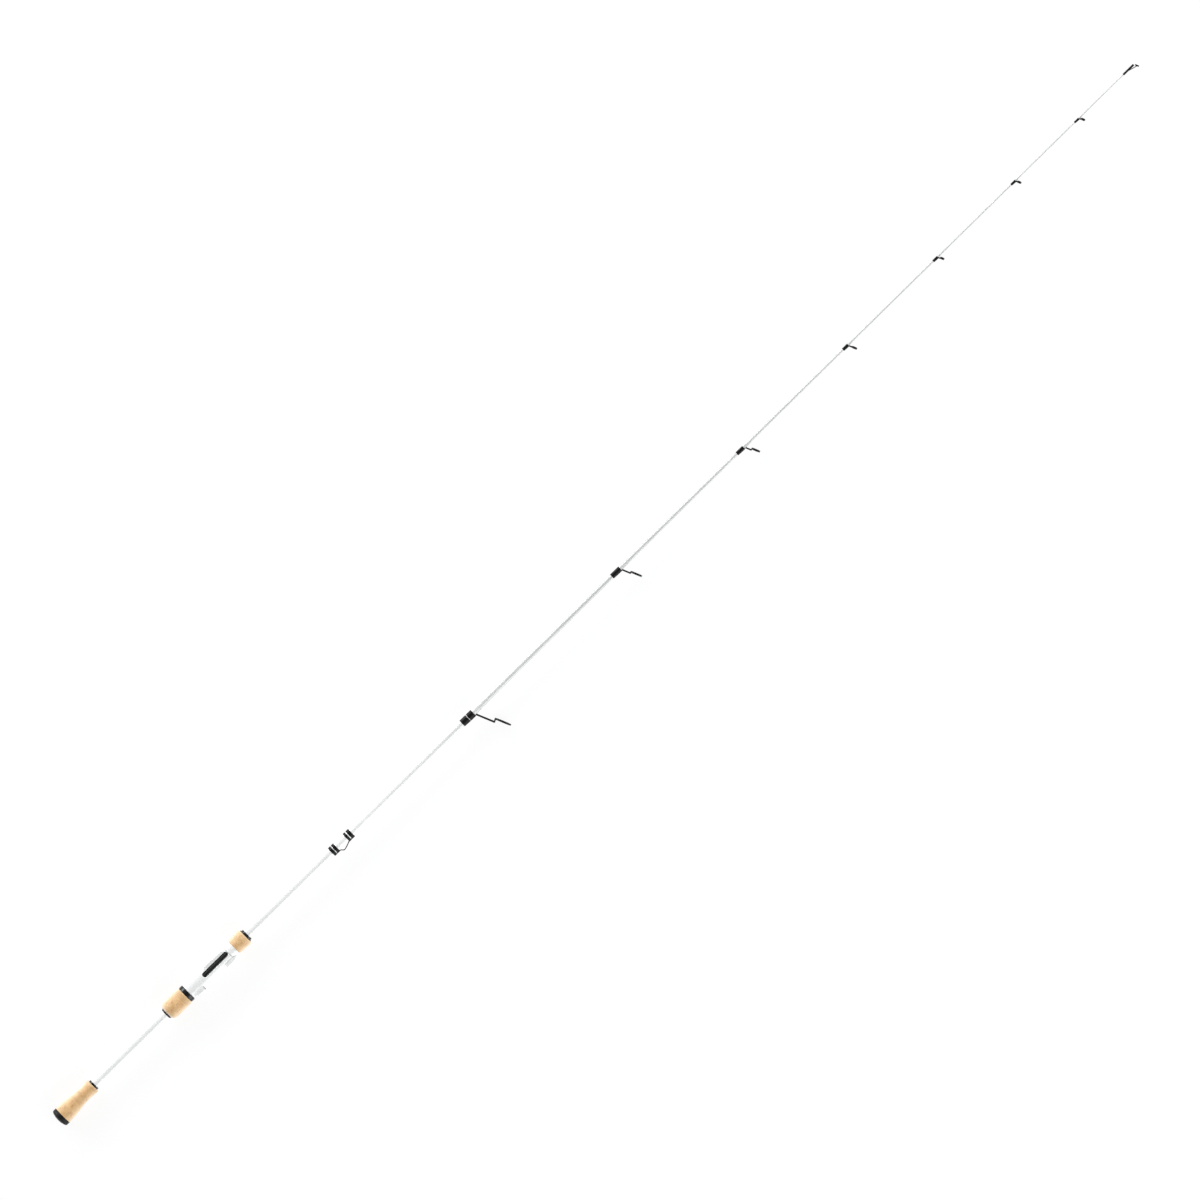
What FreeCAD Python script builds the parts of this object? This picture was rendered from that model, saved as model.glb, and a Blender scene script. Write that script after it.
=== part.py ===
import FreeCAD, Part
import math
import os

# A one-piece spinning rod lying on its side, in millimetres.
# +X runs along the rod towards the tip, -Y is the side of the reel and the guides, +Z is up.
# The origin is the centre of the flat land that the reel foot rests on.
# Lengths along the rod are given as distances from the butt end, and at() turns them into X.

V = FreeCAD.Vector

# Overall
ROD_LENGTH = 1981.2  # 6 ft 6 in
LAND_MIDDLE = 279.1  # from the butt end to the middle of the reel foot land
AXIS_Y = 8.5  # the rod axis lies this far behind the land

# Blank: distance from the butt and outer radius, straight tapers between them
BLANK_START = 9.0
BLANK_END = 1976.0
BLANK = [
    (BLANK_START, 6.75),
    (362.0, 6.75),
    (620.0, 5.2),
    (900.0, 3.7),
    (1150.0, 2.7),
    (1360.0, 2.0),
    (1540.0, 1.58),
    (1690.0, 1.35),
    (1820.0, 1.14),
    (BLANK_END, 0.88),
]
BORE = [
    (BLANK_START, 5.55),
    (362.0, 5.6),
    (620.0, 4.2),
    (900.0, 2.85),
    (1150.0, 1.95),
    (1360.0, 1.3),
    (1540.0, 0.85),
    (1690.0, 0.5),
]

# Butt grip
CAP_LENGTH = 8.8
CAP_RADIUS = 13.0
CAP_PLUG_LENGTH = 22.0
CORK_RING = 12.7  # a cork ring is half an inch thick
BUTT_CORK_END = 64.3
BUTT_CONTOUR = [
    (8.8, 12.8),
    (14.0, 12.75),
    (22.0, 12.2),
    (32.0, 10.9),
    (42.0, 9.8),
    (51.0, 9.45),
    (58.0, 9.9),
    (62.5, 10.5),
]
BUTT_TRIM_RADIUS = 7.55
BUTT_TRIM_END = 67.2

# Rear grip
CHECK_START = 197.9
CHECK_RADIUS = 8.2
REAR_CORK_START = 200.4
REAR_CORK_RADIUS = 13.15
REAR_CORK_END = 233.8
REAR_TRIM_RADIUS = 12.35
SEAT_START = 239.8

# Reel seat
SEAT_BORE = 7.4
FIXED_MOUTH = 258.7  # the fixed hood opens towards the tip here
SLIDING_MOUTH = 299.5  # the sliding hood opens towards the butt here
SHOULDER = 313.0  # the body ends here and the barrel goes on
BARREL_END = 343.5
BARREL_CORE = 8.35
THREAD_CREST = 9.0
THREAD_PITCH = 2.0
THREAD_START = 315.0
POCKET_DROP = 0.2  # the land steps down by this much under both hoods
POCKET_HALF_WIDTH = 7.6
POCKET_ROOF = 13.45  # from the rod axis
HOOD_TOP = 14.75  # from the rod axis
HOOD_HALF_WIDTH = 9.6
POCKET_DEPTH = 9.7
LINER = 0.4
WINDOW_START = 268.0
WINDOW_END = 312.6
WINDOW_HEIGHT = 7.0
WINDOW_OFFSET = 1.1  # the side windows sit this far above the rod axis, on the side away from the reel
SCOOP_START = 281.0  # a round scoop leads into each window on the side away from the reel
SCOOP_END = 305.0
SCOOP_RADIUS = 9.0
SCOOP_OFFSET = 5.2
SCOOP_FLOOR = 7.8
KEY_WIDTH = 3.6
KEY_FLOOR = 7.95

# Sliding hood and fore grip
COLLAR_RADIUS = 11.1
COLLAR_END = 323.5
COLLAR_BORE = 9.12
NUT_START = 323.55
NUT_OUTER = 9.9
NUT_CORE = 8.47
NUT_CREST = 9.12
NUT_THREAD_OFFSET = 5.5 * THREAD_PITCH
NUT_THREAD_LENGTH = 9.5
FORE_CORK_START = 323.55
FORE_CORK_END = 344.3
FORE_TRIM_RADIUS = 8.35
FORE_TRIM_BORE = 6.85
FORE_TRIM_END = 347.9

# Hook keeper
KEEPER_WIRE = 0.5  # wire radius
KEEPER_BANDS = [(502.0, 506.3), (507.2, 511.7), (529.0, 532.7), (534.0, 539.0)]
KEEPER_RISE = 3.6
KEEPER_THREAD = 0.6

# Guides: name, wrap start, wrap end, ring centre distance from the butt, ring centre height off the rod axis,
# ring frame radius, ring hole radius, how far the ring stands in front of its legs, thread thickness
GUIDES = [
    ("guide1", 742.6, 753.3, 782.6, 35.8, 11.6, 8.6, 4.6, 0.62),
    ("guide2", 1018.0, 1033.2, 1043.2, 19.9, 8.2, 5.9, 2.0, 0.42),
    ("guide3", 1247.7, 1260.0, 1269.0, 13.75, 6.1, 4.3, 2.2, 0.38),
    ("guide4", 1442.8, 1452.2, 1455.3, 8.5, 3.95, 2.7, 0.3, 0.34),
    ("guide5", 1608.5, 1617.0, 1619.7, 5.6, 3.0, 2.0, 0.9, 0.3),
    ("guide6", 1751.8, 1760.0, 1761.9, 5.0, 3.0, 2.0, 0.5, 0.3),
    ("guide7", 1868.3, 1876.3, 1879.3, 4.8, 3.0, 2.0, 0.8, 0.3),
]
GUIDE_LEAN = 23.0  # degrees from square to the rod, towards the tip
SECOND_BAND = (754.0, 763.0)  # guide 1 has two thread bands

# Tip-top
TIP_TUBE_START = 1958.0
TIP_TUBE_END = 1977.0
TIP_TUBE_RADIUS = 1.45
TIP_RING_CENTRE = (1979.4, 3.9)
TIP_RING_RADIUS = 2.9
TIP_RING_HOLE = 1.9


def at(b):
    """X of a distance from the butt end."""
    return b - LAND_MIDDLE


def on_axis(b, r):
    """A point at b from the butt and r from the rod axis, on the side away from the reel."""
    return V(at(b), AXIS_Y + r, 0)


def between(table, b):
    """The radius at b in a table of straight tapers."""
    for (b0, r0), (b1, r1) in zip(table, table[1:]):
        if b0 <= b <= b1:
            return r0 + (r1 - r0) * (b - b0) / (b1 - b0)
    raise ValueError(b)


def turned(*steps):
    """A solid turned about the rod axis; a step is a point (b, r), an arc (middle, end) or a curve."""
    here = steps[0]
    edges = []
    for step in steps[1:] + (steps[0],):
        if isinstance(step, list):
            points = [on_axis(*p) for p in [here] + step]
            curve = Part.BSplineCurve()
            curve.interpolate(points)
            edges.append(curve.toShape())
            here = step[-1]
        elif isinstance(step[0], tuple):
            arc = Part.Arc(on_axis(*here), on_axis(*step[0]), on_axis(*step[1]))
            edges.append(arc.toShape())
            here = step[1]
        else:
            if step != here:
                edges.append(Part.makeLine(on_axis(*here), on_axis(*step)))
            here = step
    face = Part.Face(Part.Wire(edges))
    return face.revolve(V(0, AXIS_Y, 0), V(1, 0, 0), 360)


def cone_around(table, b0, b1):
    """The solid inside a table's radii from b0 to b1, which lie on one straight taper."""
    return turned((b0, 0.0), (b0, between(table, b0)), (b1, between(table, b1)), (b1, 0.0))


def block(b0, b1, y0, y1, z0, z1):
    """A box between two distances from the butt, two heights off the axis towards the reel, and two Z."""
    return Part.makeBox(b1 - b0, y1 - y0, z1 - z0, V(at(b0), AXIS_Y - y1, z0))


def rounded_ring(b0, b1, outer, inner, edge):
    """A ring on the axis with both outer edges rounded."""
    d = edge * (1 - math.sqrt(0.5))
    return turned(
        (b0, inner),
        (b0, outer - edge),
        ((b0 + d, outer - d), (b0 + edge, outer)),
        (b1 - edge, outer),
        ((b1 - d, outer - d), (b1, outer - edge)),
        (b1, inner),
    )


def blank():
    outer = turned((BLANK_START, 0.0), *BLANK, (BLANK_END, 0.0))
    bore = turned((BORE[0][0], 0.0), *BORE, (BORE[-1][0] + 2.0, 0.0))
    return outer.cut(bore)


def butt_cap():
    dome = turned(
        (0.0, 0.0),
        ((0.9, 8.0), (2.6, CAP_RADIUS - 0.6)),
        ((2.8, CAP_RADIUS - 0.2), (3.3, CAP_RADIUS)),
        (CAP_LENGTH, CAP_RADIUS),
        (CAP_LENGTH, 0.0),
    )
    plug = turned(
        (CAP_LENGTH, 0.0),
        (CAP_LENGTH, BORE[0][1]),
        (BLANK_START, BORE[0][1]),
        (BLANK_START + CAP_PLUG_LENGTH, between(BORE, BLANK_START + CAP_PLUG_LENGTH)),
        (BLANK_START + CAP_PLUG_LENGTH, 0.0),
    )
    return dome.fuse(plug)


def butt_grip_whole():
    return turned(
        (CAP_LENGTH, 6.75),
        BUTT_CONTOUR[0],
        BUTT_CONTOUR[1:],
        [(63.6, 10.3), (BUTT_CORK_END, 9.4)],
        (BUTT_CORK_END, 6.75),
    )


def slices(whole, cuts):
    """A turned solid cut across the rod axis at each of the cuts."""
    parts = []
    for b0, b1 in zip(cuts, cuts[1:]):
        parts.append(whole.common(block(b0, b1, -40, 40, -40, 40)))
    return parts


def butt_corks():
    cuts = [CAP_LENGTH + CORK_RING * i for i in range(5)]
    return slices(butt_grip_whole(), cuts + [BUTT_CORK_END])


def rear_grip_whole():
    r = REAR_CORK_RADIUS
    return turned(
        (REAR_CORK_START, 6.75),
        (REAR_CORK_START, 8.6),
        [(REAR_CORK_START + 1.2, 10.6), (REAR_CORK_START + 3.6, 12.3), (REAR_CORK_START + 7.5, r)],
        (REAR_CORK_END - 1.6, r),
        ((REAR_CORK_END - 0.47, r - 0.47), (REAR_CORK_END, r - 1.6)),
        (REAR_CORK_END, 6.75),
    )


def rear_corks():
    b = REAR_CORK_START
    return slices(rear_grip_whole(), [b, b + CORK_RING, b + 2 * CORK_RING, REAR_CORK_END])


def rear_check():
    return turned(
        (CHECK_START, 6.75),
        (CHECK_START, 6.95),
        ((CHECK_START + 0.5, 7.75), (CHECK_START + 1.7, CHECK_RADIUS)),
        (REAR_CORK_START, CHECK_RADIUS),
        (REAR_CORK_START, 6.75),
    )


def rear_trim():
    r = REAR_TRIM_RADIUS
    return turned(
        (REAR_CORK_END, 6.75),
        (REAR_CORK_END, r - 0.9),
        ((REAR_CORK_END + 0.35, r - 0.35), (REAR_CORK_END + 1.3, r)),
        (SEAT_START - 1.3, r),
        ((SEAT_START - 0.35, r - 0.35), (SEAT_START, r - 0.9)),
        (SEAT_START, 6.75),
    )


def section(b, far, near, half_width):
    """A closed seat outline across the rod: far side, reel side and half width from the axis."""
    count = 24
    points = []
    for i in range(count):
        angle = 2 * math.pi * i / count
        c = math.cos(angle)
        s = math.sin(angle)
        reach = far if c > 0 else near
        points.append(V(at(b), AXIS_Y + reach * c, half_width * s))
    curve = Part.BSplineCurve()
    curve.interpolate(points, PeriodicFlag=True)
    return Part.Wire(curve.toShape())


def hood_outline(b, half_width, top, base):
    """A closed D-shaped outline of a hood across the rod, flat at the base and arched at the top."""
    foot = V(at(b), AXIS_Y - base, -half_width)
    end = V(at(b), AXIS_Y - base, half_width)
    knee = base + (top - base) * 0.68
    a = V(at(b), AXIS_Y - knee, -half_width * 0.95)
    c = V(at(b), AXIS_Y - knee, half_width * 0.95)
    peak = V(at(b), AXIS_Y - top, 0)
    q = V(at(b), AXIS_Y - (knee + (top - knee) * 0.88), -half_width * 0.6)
    w = V(at(b), AXIS_Y - (knee + (top - knee) * 0.88), half_width * 0.6)
    arch = Part.BSplineCurve()
    arch.interpolate([foot, a, q, peak, w, c, end])
    return Part.Wire([arch.toShape(), Part.makeLine(end, foot)])


def thread(b0, b1, deep, deep_width, crest, crest_width):
    """A helical ridge about the rod axis, a trapezoid from the deep radius to the crest radius."""
    helix = Part.makeHelix(THREAD_PITCH, b1 - b0, deep)
    profile = Part.makePolygon(
        [
            V(deep, 0, -deep_width / 2),
            V(crest, 0, -crest_width / 2),
            V(crest, 0, crest_width / 2),
            V(deep, 0, deep_width / 2),
            V(deep, 0, -deep_width / 2),
        ]
    )
    ridge = Part.Wire(helix.Edges).makePipeShell([profile], True, True)
    ridge.rotate(V(0, 0, 0), V(0, 1, 0), 90)
    ridge.translate(V(at(b0), AXIS_Y, 0))
    return ridge


def window_cutter():
    """A long oval through the seat, with a round-ended trough that leads into it on each side."""
    r = WINDOW_HEIGHT / 2
    z = 40.0
    a = V(at(WINDOW_START + r), AXIS_Y + WINDOW_OFFSET, -z)
    c = V(at(WINDOW_END - r), AXIS_Y + WINDOW_OFFSET, -z)
    first = Part.makeCylinder(r, 2 * z, a, V(0, 0, 1))
    last = Part.makeCylinder(r, 2 * z, c, V(0, 0, 1))
    middle = Part.makeBox(c.x - a.x, 2 * r, 2 * z, V(a.x, a.y - r, -z))
    cutter = first.fuse(last).fuse(middle)
    for side in (-1, 1):
        scoop_y = AXIS_Y + SCOOP_OFFSET
        scoop_z = side * (SCOOP_FLOOR + SCOOP_RADIUS)
        a = V(at(SCOOP_START), scoop_y, scoop_z)
        c = V(at(SCOOP_END), scoop_y, scoop_z)
        trough = Part.makeCylinder(SCOOP_RADIUS, c.x - a.x, a, V(1, 0, 0))
        trough = trough.fuse(Part.makeSphere(SCOOP_RADIUS, a)).fuse(Part.makeSphere(SCOOP_RADIUS, c))
        cutter = cutter.fuse(trough)
    return cutter


def reel_seat():
    stations = [
        (SEAT_START, 11.7, 11.7, 11.7),
        (247.0, 12.9, 12.4, 12.3),
        (256.0, 13.9, 12.8, 12.7),
        (266.0, 14.1, 12.8, 12.6),
        (280.0, 13.2, 12.6, 12.0),
        (296.0, 12.2, 12.4, 11.5),
        (308.0, 11.4, 12.2, 11.2),
        (SHOULDER, 11.1, 12.0, 11.0),
    ]
    body = Part.makeLoft([section(*s) for s in stations], True, False)
    hood = Part.makeLoft(
        [
            hood_outline(SEAT_START + 0.8, 5.6, 11.4, 5.0),
            hood_outline(SEAT_START + 5.0, 8.2, 13.3, 5.0),
            hood_outline(SEAT_START + 10.5, HOOD_HALF_WIDTH, HOOD_TOP, 5.0),
            hood_outline(FIXED_MOUTH, HOOD_HALF_WIDTH, HOOD_TOP - 0.2, 5.0),
        ],
        True,
        False,
    )
    land = block(FIXED_MOUTH, SHOULDER, AXIS_Y, 30, -30, 30)
    dropped = block(SLIDING_MOUTH, SHOULDER, AXIS_Y - POCKET_DROP, 30, -30, 30)
    pocket = pocket_space(FIXED_MOUTH - POCKET_DEPTH, FIXED_MOUTH, 0.0)
    seat = body.cut(land).cut(dropped).fuse(hood).cut(pocket)
    core = turned(
        (SHOULDER - 3.0, 0.0), (SHOULDER - 3.0, BARREL_CORE), (BARREL_END, BARREL_CORE), (BARREL_END, 0.0)
    )
    ridge = thread(THREAD_START, BARREL_END - 2.0, BARREL_CORE - 0.25, 1.15, THREAD_CREST, 0.45)
    seat = seat.fuse(core).fuse(ridge)
    seat = seat.cut(block(SHOULDER, BARREL_END + 5, KEY_FLOOR, 12, -KEY_WIDTH / 2 - 0.1, KEY_WIDTH / 2 + 0.1))
    seat = seat.cut(window_cutter())
    start = SEAT_START - 1
    end = BARREL_END + 1
    return seat.cut(turned((start, 0.0), (start, SEAT_BORE), (end, SEAT_BORE), (end, 0.0)))


def pocket_space(b0, b1, less):
    """The room for one end of the reel foot, made smaller all round by less."""
    floor = AXIS_Y - POCKET_DROP
    a = hood_outline(b0, POCKET_HALF_WIDTH - 1.2 - less, POCKET_ROOF - 0.3 - less, floor)
    c = hood_outline(b1, POCKET_HALF_WIDTH - less, POCKET_ROOF - less, floor)
    return Part.makeLoft([a, c], True, True)


def fixed_hood_liner():
    b0 = FIXED_MOUTH - POCKET_DEPTH
    return pocket_space(b0, FIXED_MOUTH, 0.0).cut(pocket_space(b0, FIXED_MOUTH, LINER))


def arbor(b0, b1):
    return turned((b0, 6.75), (b0, SEAT_BORE), (b1, SEAT_BORE), (b1, 6.75))


def sliding_pocket(less):
    floor = AXIS_Y - POCKET_DROP
    end = SLIDING_MOUTH + POCKET_DEPTH
    c = hood_outline(SLIDING_MOUTH, POCKET_HALF_WIDTH - less, POCKET_ROOF - less, floor)
    a = hood_outline(end, POCKET_HALF_WIDTH - 1.2 - less, POCKET_ROOF - 0.3 - less, floor)
    return Part.makeLoft([c, a], True, True)


def sliding_hood():
    rise = AXIS_Y + 0.1
    collar = turned(
        (SHOULDER + 0.05, COLLAR_BORE),
        (SHOULDER + 0.05, COLLAR_RADIUS - 0.5),
        ((SHOULDER + 0.2, COLLAR_RADIUS - 0.15), (SHOULDER + 0.55, COLLAR_RADIUS)),
        (COLLAR_END - 0.5, COLLAR_RADIUS),
        ((COLLAR_END - 0.15, COLLAR_RADIUS - 0.15), (COLLAR_END, COLLAR_RADIUS - 0.5)),
        (COLLAR_END, COLLAR_BORE),
    )
    hood = Part.makeLoft(
        [
            hood_outline(SLIDING_MOUTH, HOOD_HALF_WIDTH, HOOD_TOP - 0.2, rise),
            hood_outline(SLIDING_MOUTH + 7.0, HOOD_HALF_WIDTH, HOOD_TOP, rise),
            hood_outline(SHOULDER + 1.5, HOOD_HALF_WIDTH * 0.9, HOOD_TOP - 0.8, rise),
            hood_outline(COLLAR_END - 2.0, HOOD_HALF_WIDTH * 0.55, 11.0, rise),
        ],
        True,
        False,
    )
    start = SLIDING_MOUTH
    end = COLLAR_END + 1
    barrel_room = turned((start, 0.0), (start, COLLAR_BORE), (end, COLLAR_BORE), (end, 0.0))
    key = block(SHOULDER + 0.3, COLLAR_END - 0.3, KEY_FLOOR + 0.15, 9.6, -KEY_WIDTH / 2, KEY_WIDTH / 2)
    shape = hood.fuse(collar).cut(barrel_room).fuse(key)
    return shape.cut(sliding_pocket(0.0))


def sliding_hood_liner():
    rise = AXIS_Y + 0.1
    room = block(SLIDING_MOUTH - 1, SHOULDER, rise, 30, -30, 30)
    return sliding_pocket(0.0).cut(sliding_pocket(LINER)).common(room)


def fore_nut():
    """A sleeve with an inward ridge that runs midway between the turns of the barrel's ridge."""
    sleeve = turned(
        (NUT_START, NUT_CREST), (NUT_START, NUT_OUTER), (FORE_CORK_END, NUT_OUTER), (FORE_CORK_END, NUT_CREST)
    )
    start = THREAD_START + NUT_THREAD_OFFSET
    ridge = thread(start, start + NUT_THREAD_LENGTH, NUT_CREST + 0.25, 1.56, NUT_CORE, 0.86)
    return sleeve.fuse(ridge)


def fore_grip_whole():
    return turned(
        (FORE_CORK_START, NUT_OUTER),
        (FORE_CORK_START, 10.5),
        ((FORE_CORK_START + 0.3, 11.0), (FORE_CORK_START + 1.0, 11.2)),
        [(FORE_CORK_START + 9.0, 11.55), (FORE_CORK_START + 16.0, 12.1), (FORE_CORK_END - 2.2, 12.1)],
        ((FORE_CORK_END - 0.6, 11.4), (FORE_CORK_END, 9.95)),
        (FORE_CORK_END, NUT_OUTER),
    )


def fore_corks():
    b = FORE_CORK_START
    return slices(fore_grip_whole(), [b, b + CORK_RING, FORE_CORK_END])


def fore_trim():
    r = FORE_TRIM_RADIUS
    return turned(
        (FORE_CORK_END, FORE_TRIM_BORE),
        (FORE_CORK_END, 9.9),
        (FORE_CORK_END + 0.5, 9.9),
        ((FORE_CORK_END + 0.9, 9.4), (FORE_CORK_END + 1.3, r)),
        (FORE_TRIM_END - 1.0, r),
        ((FORE_TRIM_END - 0.35, r - 0.35), (FORE_TRIM_END, r - 1.2)),
        (FORE_TRIM_END, FORE_TRIM_BORE),
    )


def keeper_curve():
    """The centre line of the keeper wire: a foot, a steep rise, a long slope and a second foot."""
    lie = between(BLANK, 506.0) + KEEPER_WIRE
    fall = between(BLANK, 534.0) + KEEPER_WIRE
    points = [
        (503.0, between(BLANK, 503.0) + KEEPER_WIRE),
        (507.5, lie - 0.02),
        (511.5, between(BLANK, 511.5) + KEEPER_WIRE + 0.05),
        (514.0, lie + 1.3),
        (516.6, lie + KEEPER_RISE),
        (519.5, lie + KEEPER_RISE - 0.25),
        (524.5, lie + 1.5),
        (529.0, between(BLANK, 529.0) + KEEPER_WIRE + 0.1),
        (534.0, fall + 0.02),
        (538.0, between(BLANK, 538.0) + KEEPER_WIRE),
    ]
    curve = Part.BSplineCurve()
    curve.interpolate([on_axis(b, -r) for b, r in points])
    return curve


def keeper_wire(radius, blank_solid):
    curve = keeper_curve()
    start = curve.value(curve.FirstParameter)
    direction = curve.tangent(curve.FirstParameter)[0]
    circle = Part.Wire(Part.makeCircle(radius, start, direction))
    wire = Part.Wire(curve.toShape()).makePipeShell([circle], True, True)
    return wire.cut(blank_solid)


def sleeve_band(b0, b1, thickness):
    """A wound thread band that follows the blank's taper, with rounded shoulders."""
    r0 = between(BLANK, b0)
    r1 = between(BLANK, b1)
    e = min(thickness * 0.8, (b1 - b0) * 0.2)
    slope = (r1 - r0) / (b1 - b0)
    return turned(
        (b0, r0),
        (b0, r0 + thickness * 0.35),
        ((b0 + e * 0.3, r0 + thickness * 0.8), (b0 + e, r0 + slope * e + thickness)),
        (b1 - e, r1 - slope * e + thickness),
        ((b1 - e * 0.3, r1 + thickness * 0.8), (b1, r1 + thickness * 0.35)),
        (b1, r1),
    )


def keeper_wraps(wire, blank_solid):
    wraps = []
    for pair in (KEEPER_BANDS[:2], KEEPER_BANDS[2:]):
        bands = []
        for b0, b1 in pair:
            band = sleeve_band(b0, b1, KEEPER_THREAD)
            top = between(BLANK, (b0 + b1) / 2) + 2 * KEEPER_WIRE + 0.3
            ridge = Part.makeCylinder(
                KEEPER_WIRE + 0.4, b1 - b0, on_axis(b0, -(top - KEEPER_WIRE - 0.4)), V(1, 0, 0)
            )
            bands.append(band.fuse(ridge))
        # A thin run of thread joins the two bands under the finish.
        join = sleeve_band(pair[0][1] - 0.5, pair[1][0] + 0.5, KEEPER_THREAD * 0.4)
        wraps.append(bands[0].fuse(bands[1]).fuse(join).cut(blank_solid).cut(wire))
    return wraps


def foot_solid(b0, b1, half_width, top, grow):
    """A guide foot: pointed at the butt end, parallel at the leg. grow makes it larger all round."""
    w = half_width + grow
    length = b1 - b0
    outline = [
        V(at(b0) - grow, 0, 0),
        V(at(b0 + 0.15 * length), 0, -w * 0.62),
        V(at(b0 + 0.6 * length), 0, -w),
        V(at(b1), 0, -w),
        V(at(b1), 0, w),
        V(at(b0 + 0.6 * length), 0, w),
        V(at(b0 + 0.15 * length), 0, w * 0.62),
        V(at(b0) - grow, 0, 0),
    ]
    face = Part.Face(Part.makePolygon(outline))
    face.translate(V(0, AXIS_Y - top - grow, 0))
    return face.extrude(V(0, top + grow, 0))


def placed(shape, b, off):
    """A guide piece drawn square to the rod, leaned to the tip, with its ring centre put at (b, off)."""
    shape.rotate(V(0, 0, 0), V(0, 0, 1), GUIDE_LEAN)
    shape.translate(V(at(b), AXIS_Y - off, 0))
    return shape


def tube(radius, hole, x0, x1):
    outer = Part.makeCylinder(radius, x1 - x0, V(x0, 0, 0), V(1, 0, 0))
    return outer.cut(Part.makeCylinder(hole, x1 - x0, V(x0, 0, 0), V(1, 0, 0)))


def guide(wrap0, wrap1, ring_b, ring_off, radius, hole, step, blank_solid):
    """The frame and the ring of one guide, and what its wrap has to cover of the foot."""
    scale = radius / 11.6
    plate = 1.1 + 0.75 * scale
    rim = max(0.45, 1.25 * scale)
    ring_outer = radius - rim
    holder = 1.45 + 0.8 * scale
    lean = math.radians(GUIDE_LEAN)
    blank_r = between(BLANK, wrap1)
    back = -step - plate / 2
    # Along the lean, from the ring centre down to the foot, and where the legs' front then meets the foot.
    drop = (ring_off - blank_r - 0.15 - back * math.sin(lean)) / math.cos(lean)
    foot_end = ring_b + (back + plate) * math.cos(lean) - drop * math.sin(lean)
    leg_foot = max(1.3, 2.3 * scale)
    reach = radius * 0.78
    # The legs stand on the foot, spread towards the ring and leave a long opening between them.
    outline = Part.makePolygon(
        [
            V(back, drop, -leg_foot),
            V(back, radius * 0.8, -reach * 0.72),
            V(back, radius * 0.7, -reach * 0.72),
            V(back, radius * 0.7, reach * 0.72),
            V(back, radius * 0.8, reach * 0.72),
            V(back, drop, leg_foot),
            V(back, drop, -leg_foot),
        ]
    )
    legs = Part.Face(outline).extrude(V(plate, 0, 0))
    legs = legs.cut(Part.makeCylinder(ring_outer, 20, V(-15, 0, 0), V(1, 0, 0)))
    if drop - radius > 4.0:
        low = drop - leg_foot * 0.9
        high = radius + 0.5
        spread = reach * 0.62 - leg_foot * 0.45
        opening = Part.makePolygon(
            [
                V(back - 1, low, -leg_foot * 0.4),
                V(back - 1, high, -spread * 0.75),
                V(back - 1, high, spread * 0.75),
                V(back - 1, low, leg_foot * 0.4),
                V(back - 1, low, -leg_foot * 0.4),
            ]
        )
        legs = legs.cut(Part.Face(opening).extrude(V(plate + 2, 0, 0)))
    bridge = tube(radius, ring_outer, back, holder / 2)
    keep = Part.makeBox(20, radius * 0.6, reach * 1.44, V(-10, radius * 0.5, -reach * 0.72))
    bridge = bridge.common(keep)
    rim_tube = tube(radius, ring_outer, -holder / 2, holder / 2)
    edge = min(rim, holder) * 0.3
    outer_edges = []
    for e in rim_tube.Edges:
        if isinstance(e.Curve, Part.Circle) and abs(e.Curve.Radius - radius) < 1e-6:
            outer_edges.append(e)
    rim_tube = rim_tube.makeFillet(edge, outer_edges)
    frame = placed(legs.fuse(bridge).fuse(rim_tube), ring_b, ring_off)
    foot_half = max(0.9, 2.0 * scale)
    foot_top = blank_r + max(0.45, 0.8 * scale)
    foot_start = wrap0 + (wrap1 - wrap0) * 0.12
    foot = foot_solid(foot_start, foot_end, foot_half, foot_top, 0.0)
    frame = frame.fuse(foot).cut(blank_solid)
    ring_half = holder * 0.62
    r_mid = (ring_outer + hole) / 2
    bead = Part.makePolygon(
        [
            V(-ring_half * 0.45, ring_outer, 0),
            V(-ring_half, r_mid + (ring_outer - hole) * 0.2, 0),
            V(-ring_half * 0.75, hole + (ring_outer - hole) * 0.15, 0),
            V(-ring_half * 0.25, hole, 0),
            V(ring_half * 0.25, hole, 0),
            V(ring_half * 0.75, hole + (ring_outer - hole) * 0.15, 0),
            V(ring_half, r_mid + (ring_outer - hole) * 0.2, 0),
            V(ring_half * 0.45, ring_outer, 0),
            V(-ring_half * 0.45, ring_outer, 0),
        ]
    )
    ring = Part.Face(bead).revolve(V(0, 0, 0), V(1, 0, 0), 360)
    ring = placed(ring, ring_b, ring_off)
    return frame, ring, (foot_start, foot_end, foot_half, foot_top)


def guide_wrap(b0, b1, thickness, foot, blank_solid, frame):
    """A thread band with its ridge over the foot; foot is its start, end, half width and top."""
    band = sleeve_band(b0, b1, thickness)
    cover = foot_solid(*foot, thickness * 0.75)
    cover = cover.common(block(b0 + 0.05, b1 - 0.05, -40, 40, -40, 40))
    return band.fuse(cover).cut(blank_solid).cut(frame)


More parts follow.
